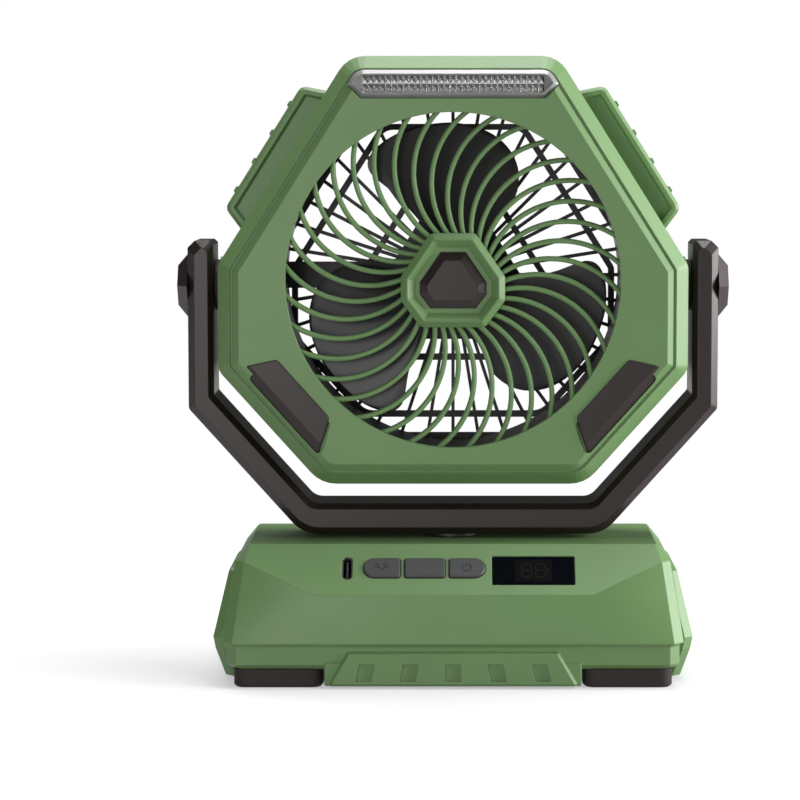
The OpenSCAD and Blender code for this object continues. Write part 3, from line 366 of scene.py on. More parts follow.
class Recipe:
    """The node tree of one material or sky, added node by node."""

    def __init__(self, holder):
        self.holder = holder
        holder.use_nodes = True
        self.tree = holder.node_tree
        self.tree.nodes.clear()

    def node(self, kind, settings=None, sockets=None, out=0):
        """Adds a node, applies its settings, fills its sockets by name or number, and gives one output."""
        made = self.tree.nodes.new(kind)
        for key, setting in (settings or {}).items():
            setattr(made, key, setting)
        for key, value in (sockets or {}).items():
            socket = made.inputs[key]
            if isinstance(value, Value):
                self.tree.links.new(value.socket, socket)
            else:
                socket.default_value = value
        if not made.outputs:
            return made
        return Value(self, made.outputs[out])

    def place(self):
        """The point in the object's own space, in metres."""
        return self.node("ShaderNodeTexCoord", out="Object")

    def noise(self, scale, detail=2.0, roughness=0.5, stretch=(1, 1, 1)):
        """Noise in the object's own space, finer along an axis where it is stretched."""
        at = self.node("ShaderNodeVectorMath", {"operation": "MULTIPLY"}, {0: self.place(), 1: stretch})
        return self.node(
            "ShaderNodeTexNoise", {},
            {"Vector": at, "Scale": scale, "Detail": detail, "Roughness": roughness})

    def mix(self, factor, first, second):
        """Two colours mixed by a factor."""
        return self.node(
            "ShaderNodeMix", {"data_type": "RGBA"}, {"Factor": factor, 6: first, 7: second}, out=2)

    def soft_edges(self, radius):
        """The normal, rounded over near edges."""
        return self.node("ShaderNodeBevel", {"samples": 6}, {"Radius": radius})

    def edge_share(self, soft):
        """Near 1 on an outer edge that the rounding has turned, and 0 on flat ground."""
        flat = self.node("ShaderNodeNewGeometry", out="Normal")
        same = self.node(
            "ShaderNodeVectorMath", {"operation": "DOT_PRODUCT"}, {0: soft, 1: flat}, out="Value")
        return (1.0 - same).ramped(0.02, 0.3)

    def bump(self, height, distance, strength, normal):
        return self.node(
            "ShaderNodeBump", {},
            {"Height": height, "Distance": distance, "Strength": strength, "Normal": normal})

    def choose(self, mask, low, high):
        """One shader where a mask is 0, and another where it is 1."""
        return self.node("ShaderNodeMixShader", {}, {0: mask, 1: low, 2: high})

    def finish(self, colour, roughness, normal, **fixed):
        """Ends the tree in a Principled shader. Fixed values sit on its own sockets."""
        sockets = {"Base Color": colour, "Roughness": roughness, "Normal": normal}
        sockets.update({key.replace("_", " "): value for key, value in fixed.items()})
        shader = self.node("ShaderNodeBsdfPrincipled", {}, sockets)
        self.node("ShaderNodeOutputMaterial", {}, {"Surface": shader})
        return self.holder


def material(name):
    return Recipe(bpy.data.materials.new(name))


def opaque(colour, share=1.0):
    return (colour[0] * share, colour[1] * share, colour[2] * share, 1.0)


def grey(level):
    return (level, level, level, 1.0)


# Finishes. The scale of a noise is its waves per metre, and a bump's distance is in metres.


def moulded(name, colour, roughness, grain, edge_radius, rub_and_painted_highlight, shine):
    """Moulded plastic: a fine spark-eroded grain, slow random changes of tone, and smoother edges painted
    paler, partly as rubbing and partly as a painted highlight.
    """
    r = material(name)
    soft = r.soft_edges(edge_radius)
    edge = r.edge_share(soft)
    cloud = r.noise(22.0, detail=3.0)
    fine = r.noise(grain, detail=3.0, roughness=0.6)
    body = r.mix(cloud.ramped(0.3, 0.7), opaque(colour, 0.95), opaque(colour, 1.05))
    # Edges are painted paler: partly rubbing of the plastic, partly a painted highlight that stands in for
    # light along the edges.
    rub_and_painted_highlight_colour = r.mix(edge * rub_and_painted_highlight, body, opaque([min(1, c * 1.5 + 0.03) for c in colour]))
    rough = roughness + 0.10 * (fine - 0.5) - 0.08 * edge
    skin = r.bump(fine, distance=0.05 * MM, strength=0.35, normal=soft)
    return r.finish(rub_and_painted_highlight_colour, rough, skin, Specular_IOR_Level=shine)


def rubber(name, colour):
    """Rubber: dark, dull, with a coarse matt skin and patches of dust."""
    r = material(name)
    soft = r.soft_edges(0.6 * MM)
    grain = r.noise(1400.0, detail=4.0, roughness=0.7)
    dust = r.noise(60.0, detail=5.0)
    body = r.mix(dust.ramped(0.45, 0.8) * 0.35, opaque(colour), opaque([c * 1.8 + 0.01 for c in colour]))
    skin = r.bump(grain, distance=0.1 * MM, strength=0.4, normal=soft)
    return r.finish(body, 0.62 + 0.2 * grain, skin, Specular_IOR_Level=0.35)


def turned_steel(name, colour, along):
    """Steel with fine marks that run across the axis it was turned or drawn along."""
    r = material(name)
    soft = r.soft_edges(0.2 * MM)
    marks = r.noise(600.0, detail=3.0, roughness=0.6, stretch=along)
    body = r.mix(marks.ramped(0.3, 0.7), opaque(colour, 0.85), opaque(colour, 1.1))
    skin = r.bump(marks, distance=0.03 * MM, strength=0.25, normal=soft)
    return r.finish(body, 0.22 + 0.2 * marks, skin, Metallic=1.0)


def circuit_board(name, colour):
    """Board with copper tracks under a green mask."""
    r = material(name)
    tracks = r.node(
        "ShaderNodeTexVoronoi", {"feature": "DISTANCE_TO_EDGE"}, {"Vector": r.place(), "Scale": 350.0})
    line = 1.0 - tracks.ramped(0.04, 0.07)
    body = r.mix(line, opaque(colour), opaque([c * 1.6 + 0.02 for c in colour]))
    skin = r.bump(line, distance=0.03 * MM, strength=0.5, normal=r.soft_edges(0.1 * MM))
    return r.finish(body, 0.35 + 0.15 * line, skin)


def clear_lens(name):
    """Clear polycarbonate of the light bar, faintly smoky, with a soft moulded waviness."""
    r = material(name)
    wave = r.noise(500.0)
    cloud = r.noise(90.0, detail=3.0)
    body = r.mix(cloud, (0.2, 0.2, 0.195, 1.0), (0.32, 0.32, 0.315, 1.0))
    skin = r.bump(wave, distance=0.04 * MM, strength=0.2, normal=r.soft_edges(0.12 * MM))
    return r.finish(body, 0.12 + 0.06 * wave, skin, IOR=1.49)


def prism_facets(name):
    """Silvered prisms behind the light bar's window: each facet is painted lighter the more it leans towards
    a fixed direction, with painted glints from a noise.
    """
    r = material(name)
    # Painted light and shade: how far a facet leans towards a fixed direction, where the light stands, sets
    # its tone.
    lean = r.node(
        "ShaderNodeVectorMath", {"operation": "DOT_PRODUCT"},
        {0: r.node("ShaderNodeNewGeometry", out="True Normal"), 1: (-0.8, 0.0, -0.6)}, out="Value")
    # This noise is fine grain in the bump and the roughness, and painted glints in the colour.
    grain_and_painted_glint = r.noise(700.0, detail=3.0, roughness=0.7)
    painted_facet_light = (lean + 0.5 * (grain_and_painted_glint - 0.5)).ramped(-0.7, 0.45)
    body = r.mix(painted_facet_light, (0.035, 0.032, 0.034, 1.0), (0.85, 0.84, 0.83, 1.0))
    skin = r.bump(grain_and_painted_glint, distance=0.04 * MM, strength=0.2, normal=r.soft_edges(0.08 * MM))
    return r.finish(body, 0.16 + 0.1 * grain_and_painted_glint, skin, Metallic=0.75)


def dark_glass(name):
    """Smoked cover of the display: deep black, very smooth, with a few wipe marks."""
    r = material(name)
    wipe = r.noise(120.0, detail=6.0, roughness=0.65, stretch=(1, 3, 3))
    body = r.mix(wipe, (0.0012, 0.0018, 0.003, 1.0), (0.003, 0.004, 0.006, 1.0))
    skin = r.bump(wipe, distance=0.01 * MM, strength=0.1, normal=r.soft_edges(0.2 * MM))
    return r.finish(body, 0.05 + 0.1 * wipe.ramped(0.5, 0.8), skin, Specular_IOR_Level=0.08)


def cell_wrap(name):
    """Shrink sleeve of a battery cell: glossy blue, faintly wrinkled along the cell."""
    r = material(name)
    wrinkle = r.noise(300.0, detail=4.0, roughness=0.6, stretch=(3, 1, 1))
    body = r.mix(wrinkle, (0.01, 0.06, 0.22, 1.0), (0.02, 0.1, 0.32, 1.0))
    skin = r.bump(wrinkle, distance=0.06 * MM, strength=0.3, normal=r.soft_edges(0.4 * MM))
    return r.finish(body, 0.2 + 0.15 * wrinkle, skin)


def plastics(looks):
    """Each moulded plastic: its name, colour, roughness, grain, edge radius, paleness of its edges (rubbing
    and painted highlight) and shine.
    """
    icon_colour = [0.35 * c for c in looks.key_colour]
    return {
        "green": ("green_abs", looks.shell_colour, 0.42, 2600.0, 0.6 * MM, 0.4, 0.38),
        "yoke": ("yoke_abs", looks.yoke_colour, 0.38, 2200.0, 0.5 * MM, 0.15, 0.36),
        "trim": ("trim_abs", looks.trim_colour, 0.36, 2600.0, 0.5 * MM, 0.2, 0.33),
        "dark": ("dark_abs", looks.dark_colour, 0.4, 2600.0, 0.3 * MM, 0.1, 0.36),
        "keys": ("key_caps", looks.key_colour, 0.45, 3200.0, 0.3 * MM, 0.15, 0.3),
        "port": ("port_shell", (0.02, 0.017, 0.022), 0.35, 2600.0, 0.1 * MM, 0.6, 0.45),
        "gears": ("gear_acetal", (0.75, 0.74, 0.7), 0.35, 3000.0, 0.1 * MM, 0.0, 0.45),
        "icons": ("key_icons", icon_colour, 0.4, 3200.0, 0.1 * MM, 0.0, 0.45),
        "field": ("display_field", (0.0006, 0.0006, 0.0008), 0.5, 2600.0, 0.1 * MM, 0.0, 0.05),
        "digits": ("display_digits", (0.0022, 0.0024, 0.003), 0.5, 2600.0, 0.1 * MM, 0.0, 0.1),
    }


OTHER_FINISHES = {
    "rubber": lambda looks: rubber("foot_rubber", looks.rubber_colour),
    "steel": lambda looks: turned_steel("plated_steel", (0.62, 0.62, 0.64), (1, 6, 1)),
    "board": lambda looks: circuit_board("board_green", (0.02, 0.12, 0.05)),
    "lens": lambda looks: clear_lens("lens_clear"),
    "prisms": lambda looks: prism_facets("lamp_prisms"),
    "glass": lambda looks: dark_glass("display_smoke"),
    "cells": lambda looks: cell_wrap("cell_sleeve"),
}

NODE_FINISHES = {
    "green": ["front_shell", "front_grille", "hub_boss", "rear_shell", "base_upper_shell",
              "base_lower_shell", "end_plate_left", "end_plate_right"],
    "yoke": ["yoke", "pivot_cap_left", "pivot_cap_right"],
    "trim": ["hub_cap", "corner_pad_left", "corner_pad_right"],
    "dark": ["rear_guard", "fan_duct", "impeller", "swivel_post", "button_switches", "display_module",
             "battery_holder"],
    "keys": ["button_light", "button_mode", "button_power"],
    "rubber": ["tilt_washer_left", "tilt_washer_right", "foot_left", "foot_right"],
    "steel": ["fan_motor", "motor_bearing", "motor_shaft", "head_screws", "pivot_pin_left",
              "pivot_pin_right", "swivel_bush", "swivel_motor", "base_screws"],
    "port": ["usb_socket"],
    "gears": ["swivel_gear", "swivel_pinion"],
    "lens": ["lamp_lens"],
    "board": ["lamp_board", "control_board"],
    "glass": ["display_window"],
    "cells": ["battery_cells"],
}

MADE_FINISHES = {}


def make_finish(key):
    """The material of a finish, made for the first piece that asks for it and kept for the others."""
    if key not in MADE_FINISHES:
        looks = bpy.context.scene.fan_looks
        sorts = plastics(looks)
        MADE_FINISHES[key] = moulded(*sorts[key]) if key in sorts else OTHER_FINISHES[key](looks)
    return MADE_FINISHES[key]


# Settings that a user would change


def colour_setting(name, description, default):
    return FloatVectorProperty(
        name=name, description=description, subtype="COLOR", min=0, max=1, default=default)


def length_setting(name, description, default):
    return FloatProperty(name=name, description=description, unit="LENGTH", default=default, precision=4)


def power_setting(name, description, default):
    return FloatProperty(name=name, description=description, unit="POWER", default=default)


class FAN_PG_looks(bpy.types.PropertyGroup):
    """Colours of the fan's plastics and rubber."""

    shell_colour: colour_setting("Shell", "Moulded shells, grille and boss", (0.125, 0.228, 0.084))
    yoke_colour: colour_setting("Yoke", "Yoke and pivot caps", (0.017, 0.0095, 0.0088))
    trim_colour: colour_setting("Trim", "Boss cap and corner pads", (0.020, 0.0125, 0.0118))
    dark_colour: colour_setting("Dark parts", "Blades, guard and inner mouldings", (0.015, 0.014, 0.014))
    key_colour: colour_setting("Keys", "Caps of the three keys", (0.052, 0.052, 0.054))
    rubber_colour: colour_setting("Rubber", "Feet and washers", (0.019, 0.0125, 0.012))


class FAN_PG_fan(bpy.types.PropertyGroup):
    """Sizes of the blades and the grille's ribs."""

    blade_count: IntProperty(name="Blades", description="Number of blades", default=3, min=2, max=5)
    blade_thickness: length_setting("Blade thickness", "Thickness in the middle of a blade", 1.6 * MM)
    root_rise: length_setting("Root rise", "Rise of a blade along the axis at the root", 11 * MM)
    tip_rise: length_setting("Tip rise", "Rise of a blade along the axis at the tip", 8 * MM)
    rib_count: IntProperty(name="Ribs", description="Number of swept ribs", default=36, min=12, max=40)
    rib_width: length_setting("Rib width", "Width of a rib, seen from the front", 1.8 * MM)
    rib_sweep: length_setting("Rib sweep", "Radius of the arc that a rib follows", 31 * MM)


class FAN_PG_lamp(bpy.types.PropertyGroup):
    """Prisms of the light bar's window."""

    columns: IntProperty(name="Columns", description="Prisms in a row", default=31, min=8, max=60)
    rows: IntProperty(name="Rows", description="Rows of prisms", default=2, min=1, max=4)
    prism_depth: length_setting("Prism depth", "Height of a prism", 1.0 * MM)


class FAN_PG_studio(bpy.types.PropertyGroup):
    """Camera, lamps and sky."""

    distance: length_setting("Distance", "Camera to the middle of the fan", 0.95)
    eye_height: length_setting("Eye height", "Height of the camera above the floor", 0.1887)
    view_width: length_setting("View width", "Width of the picture at the fan's middle", 0.2858)
    middle_column: FloatProperty(
        name="Middle column", description="Column of the picture that the fan's middle plane is in, of 800",
        default=453.0)
    middle_row: FloatProperty(
        name="Middle row", description="Row of the picture that the fan's middle height is in, of 800",
        default=364.2)
    side_power: power_setting("Side lamp", "Power of the large lamp on the right", 19.0)
    top_power: power_setting("Top lamp", "Power of the long lamp above", 13.0)
    back_power: power_setting("Back lamp", "Power of the soft lamp behind, on the left", 8.0)
    front_power: power_setting("Front lamp", "Power of the soft lamp in front, on the left", 6.3)
    sky_strength: FloatProperty(
        name="Sky", description="Strength of the even light from all sides", default=0.1)


class FAN_OT_finishes(bpy.types.Operator):
    """Give every CAD node its finish"""

    bl_idname = "fan.finishes"
    bl_label = "Finishes"

    def execute(self, context):
        for key, names in NODE_FINISHES.items():
            for name in names:
                node = NODES[name]
                node.data.materials.clear()
                node.data.materials.append(make_finish(key))
        bare = set(NODES) - {name for names in NODE_FINISHES.values() for name in names}
        if bare:
            raise RuntimeError("no finish for " + ", ".join(sorted(bare)))
        return {"FINISHED"}


class FAN_OT_blades(bpy.types.Operator):
    """Build the impeller: a hollow hub and swept blades that thin out to round edges"""

    bl_idname = "fan.blades"
    bl_label = "Blades"

    rows, columns = 34, 24
    sink = 1.2 * MM
    blade_radius = 55 * MM
    edge_thickness, edge_fullness = 0.3, 6
    tip_thickness, tip_fullness = 0.35, 12.0
    hub_radius, hub_depth, hub_wall, hub_round = 16 * MM, 13 * MM, 1.7 * MM, 0.8 * MM
    hub_sides = 72
    bore = 1.6 * MM

    def blade_section(self, fan, mid, share, turn):
        """Closed section across a blade at one radius, top side first."""
        radius = self.blade_radius * eased(BLADE_RADIUS_SHARES, share)
        lead, trail = eased(BLADE_LEADING, share), eased(BLADE_TRAILING, share)
        rise = fan.root_rise + (fan.tip_rise - fan.root_rise) * radius / self.blade_radius
        end = min(1.0, (1.0 - share) * self.tip_fullness) ** 0.5
        thickest = fan.blade_thickness * (self.tip_thickness + (1 - self.tip_thickness) * end)

        def point(i, side):
            across = i / self.columns
            edge = math.sqrt(max(0.0, 1 - abs(2 * across - 1) ** self.edge_fullness))
            thick = thickest * (self.edge_thickness + (1 - self.edge_thickness) * edge)
            angle = trail + across * (lead - trail)
            up = rise * ((angle - BLADE_LOW) / (BLADE_HIGH - BLADE_LOW) - 0.5) + side * thick / 2
            way = math.radians(angle + turn)
            return on_face(radius * math.cos(way), radius * math.sin(way), mid + up)

        top = [point(i, 1) for i in range(self.columns + 1)]
        return top + [point(i, -1) for i in range(self.columns, -1, -1)]

    def execute(self, context):
        fan = context.scene.fan_fan
        front = FACE_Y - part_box("impeller")[0].y
        r, d, w, ease = self.hub_radius, self.hub_depth, self.hub_wall, self.hub_round
        bm = bmesh.new()
        revolve(bm, [
            (self.bore, front), (r - ease, front), (r - 0.3 * ease, front - 0.3 * ease), (r, front - ease),
            (r, front - d), (r - w, front - d), (r - w, front - 3 * w / 2), (r - 3 * w / 2, front - w),
            (self.bore, front - w)], self.hub_sides)
        mid = front - fan.root_rise / 2 - self.sink
        for k in range(fan.blade_count):
            turn = k * 360 / fan.blade_count
            loft(bm, [self.blade_section(fan, mid, j / self.rows, turn) for j in range(self.rows + 1)])
        made = piece("fan_blades", bm, "rotor", "black_plastic", "dark", smooth_angle=0.9)
        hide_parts("impeller")
        return {"FINISHED"}


class FAN_OT_grille(bpy.types.Operator):
    """Build the front grille: round-backed ribs that sweep from the boss to the ring"""

    bl_idname = "fan.grille"
    bl_label = "Grille"

    start_radius, root_radius = 15 * MM, 17.7 * MM
    lean, first_turn = math.radians(23), math.radians(9)
    tuck = 0.6 * MM
    roundness = 0.95
    ring_width, ring_sides = 2.1 * MM, 128
    boss_inset, boss_steps = 0.3 * MM, 3
    steps, arc_steps = 26, 6

    def rib_sections(self, fan, end_radius, back, front, turn):
        """Sections of one rib, along an arc that leaves the boss at a lean and ends at a radius."""
        sweep = fan.rib_sweep
        centre = Vector((
            self.root_radius + sweep * math.sin(self.lean), -sweep * math.cos(self.lean)))
        reach = centre.length
        base = math.atan2(-centre.y, -centre.x)

        def angle(radius):
            return base - math.acos((reach ** 2 + sweep ** 2 - radius ** 2) / (2 * reach * sweep))

        half = fan.rib_width / 2
        round_d = self.roundness * half
        bends = [math.pi * k / self.arc_steps for k in range(self.arc_steps + 1)]
        outline = [(-half, back), (half, back)] + [
            (half * math.cos(bend), front - round_d + round_d * math.sin(bend)) for bend in bends]
        first, last = angle(self.start_radius), angle(end_radius)
        sections = []
        for i in range(self.steps + 1):
            at = first + (last - first) * i / self.steps
            way = Vector((math.cos(at), math.sin(at)))
            section = []
            for across, out in outline:
                p = centre + (sweep + across) * way
                p.rotate(Matrix.Rotation(turn, 2))
                section.append(on_face(p.x, p.y, out))
            sections.append(section)
        return sections

    def execute(self, context):
        fan = context.scene.fan_fan
        low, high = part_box("front_grille")
        back, front = FACE_Y - high.y, FACE_Y - low.y
        radius = (high.x - low.x) / 2
        bm = bmesh.new()
        for k in range(fan.rib_count):
            turn = self.first_turn + k * 2 * math.pi / fan.rib_count
            loft(bm, self.rib_sections(fan, radius - self.tuck, back, front, turn))
        inner = radius - self.ring_width
        revolve(bm, [(inner, back), (radius, back), (radius, front), (inner, front)], self.ring_sides)
        raised_hub(bm, ((self.boss_inset, back), (self.boss_inset, front)), self.boss_steps)
        made = piece("swept_grille", bm, "head", "green_plastic", "green", smooth_angle=0.7)
        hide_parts("front_grille")
        return {"FINISHED"}


class FAN_OT_light_bar(bpy.types.Operator):
    """Build the light bar's window: a bevelled rim round two rows of small prisms"""

    bl_idname = "fan.light_bar"
    bl_label = "Light bar"

    low_share, top_share, field_share = 0.865, 0.916, 0.86
    tip_round, top_round, round_steps = 0.8 * MM, 5 * MM, 6
    bevel, bevel_depth = 1.4 * MM, 1.5 * MM
    land, step = 0.35 * MM, 0.2 * MM
    tip_across, tip_up = 0.1, -0.08

    def execute(self, context):
        lamp = context.scene.fan_lamp
        low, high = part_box("lamp_lens")
        up = (low.z + high.z) / 2 - FAN_AXIS_Z
        half_w, half_h = (high.x - low.x) / 2, (high.z - low.z) / 2
        outline = both_sides([
            (self.low_share * half_w, -half_h), (half_w, 0), (self.top_share * half_w, half_h)])
        radii = [self.tip_round, self.tip_round, self.top_round]
        radii += radii[::-1]
        floor = -lamp.prism_depth - self.land
        inner = self.bevel + self.land
        bm = bmesh.new()
        raised(bm, lambda x, y, out: on_face(x, up + y, out), outline, radii, (
            (0, low.y - high.y), (0, -self.bevel_depth), (self.bevel, 0), (inner, 0),
            (inner + self.step, floor)), self.round_steps)
        rim = len(bm.faces)
        field_h = half_h - inner - self.step
        pitch = 2 * self.field_share * half_w / lamp.columns
        row_h = 2 * field_h / lamp.rows
        for row in range(lamp.rows):
            z = up - field_h + (row + 0.5) * row_h
            for column in range(lamp.columns):
                x = (column + 0.5 - lamp.columns / 2) * pitch
                ring = [
                    bm.verts.new(on_face(x + p.x, z + p.y, floor))
                    for p in upright(pitch / 2, row_h / 2)]
                tip = bm.verts.new(on_face(
                    x + self.tip_across * pitch, z + self.tip_up * row_h, -self.land))
                for i in range(4):
                    bm.faces.new((ring[i], ring[(i + 1) % 4], tip))
                bm.faces.new(reversed(ring))
        bm.faces.ensure_lookup_table()
        for face in bm.faces[rim:]:
            face.material_index = 1
        made = piece("light_window", bm, "head", "clear_plastic", "lens", "prisms", smooth_angle=0.3)
        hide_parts("lamp_lens")
        return {"FINISHED"}


class FAN_OT_boss(bpy.types.Operator):
    """Build the boss in the grille's middle with its sloped dish, and the cap that sits in it"""

    bl_idname = "fan.boss"
    bl_label = "Boss"

    back, front, floor = -3.0 * MM, 1.2 * MM, -1.2 * MM
    bevel, bevel_depth = 2.1 * MM, 1.8 * MM
    land, slope = 0.3 * MM, 2.6 * MM
    cap_inset, cap_bevel = 6.6 * MM, 2.9 * MM
    cap_front, cap_edge = 0.9 * MM, 0.5 * MM

    def execute(self, context):
        bm = bmesh.new()
        crest = self.bevel + self.land
        raised_hub(bm, (
            (0, self.back), (0, self.front - self.bevel_depth), (self.bevel, self.front),
            (crest, self.front), (crest + self.slope, self.floor)))
        dish = piece("boss_dish", bm, "head", "green_plastic", "green", smooth_angle=0.4)
        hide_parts("hub_boss")
        bm = bmesh.new()
        raised_hub(bm, (
            (self.cap_inset, self.floor), (self.cap_inset, self.floor + self.cap_edge),
            (self.cap_inset + self.cap_bevel, self.cap_front)))
        cap = piece("boss_cap", bm, "head", "black_plastic", "trim", smooth_angle=0.4)
        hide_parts("hub_cap")
        return {"FINISHED"}


class FAN_OT_pads(bpy.types.Operator):
    """Build the two pads on the head's lower corners, each with a broad bevel along its outer edge"""

    bl_idname = "fan.pads"
    bl_label = "Pads"

    near, far = 5.1 * MM, 17.3 * MM
    low_end, high_end = 20.2 * MM, 21.4 * MM
    taper = 6.9 * MM
    slant, bevel = 2.8 * MM, 0.5 * MM
    back, front, bevel_depth = -1.35 * MM, 0.6 * MM, 1.7 * MM
    outer_round, inner_round = 0.8 * MM, 2.2 * MM

    def execute(self, context):
        rate = self.taper / (self.far - self.near)

        def at(along, in_by):
            return HEAD_CORNER + HEAD_SLANT * along - HEAD_OUTWARD * in_by

        def section(side, slant, inset, out):
            outer, cut = self.near + slant, rate * slant
            points = [
                at(cut - self.low_end, outer), at(self.high_end - cut, outer),
                at(self.high_end - self.taper, self.far), at(self.taper - self.low_end, self.far)]
            radii = [self.outer_round] * 2 + [self.inner_round] * 2
            return [on_face(side * p.x, p.y, out) for p in rounded(points, radii, inset)]

        for name, side in (("left", -1), ("right", 1)):
            bm = bmesh.new()
            loft(bm, [
                section(side, 0, 0, self.back), section(side, 0, 0, self.front - self.bevel_depth),
                section(side, self.slant, self.bevel, self.front)])
            made = piece("pad_" + name, bm, "head", "black_plastic", "trim", smooth_angle=0.4)
            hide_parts("corner_pad_" + name)
        return {"FINISHED"}


class FAN_OT_yoke(bpy.types.Operator):
    """Build the yoke: a bent bar of even thickness with bevelled edges and rounded bends"""

    bl_idname = "fan.yoke"
    bl_label = "Yoke"

    arm_in, arm_out, arm_up = 84.5 * MM, 93.5 * MM, 16 * MM
    arm_chamfer = 2.5 * MM
    leg_gap, leg_thick = 7.5 * MM, 10 * MM
    bar_thick = 10.8 * MM
    inner_bevel, outer_bevel, bevel_depth = 1.8 * MM, 2.5 * MM, 2.6 * MM
    bar_inner_round, bar_outer_round = 6 * MM, 12 * MM
    arm_inner_round, arm_outer_round, arm_end_round = 1.8 * MM, 2.4 * MM, 0.6 * MM
    round_steps = 6

    def outline(self, bevelled):
        """The yoke seen from the front, about the pivot, drawn in by its bevels where it is bevelled."""
        inner, outer = (self.inner_bevel, self.outer_bevel) if bevelled else (0, 0)
        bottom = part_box("yoke")[0].z - FAN_PIVOT_Z
        low, high = bottom + outer, bottom + self.bar_thick - inner
        near = CORNER_DISTANCE + self.leg_gap + inner
        far = CORNER_DISTANCE + self.leg_gap + self.leg_thick - outer

        def leg_x(z, distance):
            return (distance - HEAD_OUTWARD.y * z) / HEAD_OUTWARD.x

        def leg_z(x, distance):
            return (HEAD_OUTWARD.x * x - distance) / -HEAD_OUTWARD.y

        right, left, top = self.arm_out - outer, self.arm_in + inner, self.arm_up - outer
        cut = self.arm_chamfer
        half = [
            (leg_x(low, far), low), (right, leg_z(right, far)), (right, top - cut), (right - cut, top),
            (left + cut / 2, top), (left, top - cut / 2), (left, leg_z(left, near)),
            (leg_x(high, near), high)]
        radii = [
            self.bar_outer_round, self.arm_outer_round, *[self.arm_end_round] * 4,
            self.arm_inner_round, self.bar_inner_round]
        return rounded(both_sides(half), radii + radii[::-1], 0.0, self.round_steps)

    def execute(self, context):
        low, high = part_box("yoke")

        def section(bevelled, y):
            return [(p.x, y, FAN_PIVOT_Z + p.y) for p in self.outline(bevelled)]

        bm = bmesh.new()
        loft(bm, [
            section(True, high.y), section(False, high.y - self.bevel_depth),
            section(False, low.y + self.bevel_depth), section(True, low.y)])
        made = piece("yoke_bar", bm, "yoke", "yoke_plastic", "yoke", smooth_angle=0.35)
        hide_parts("yoke")
        return {"FINISHED"}


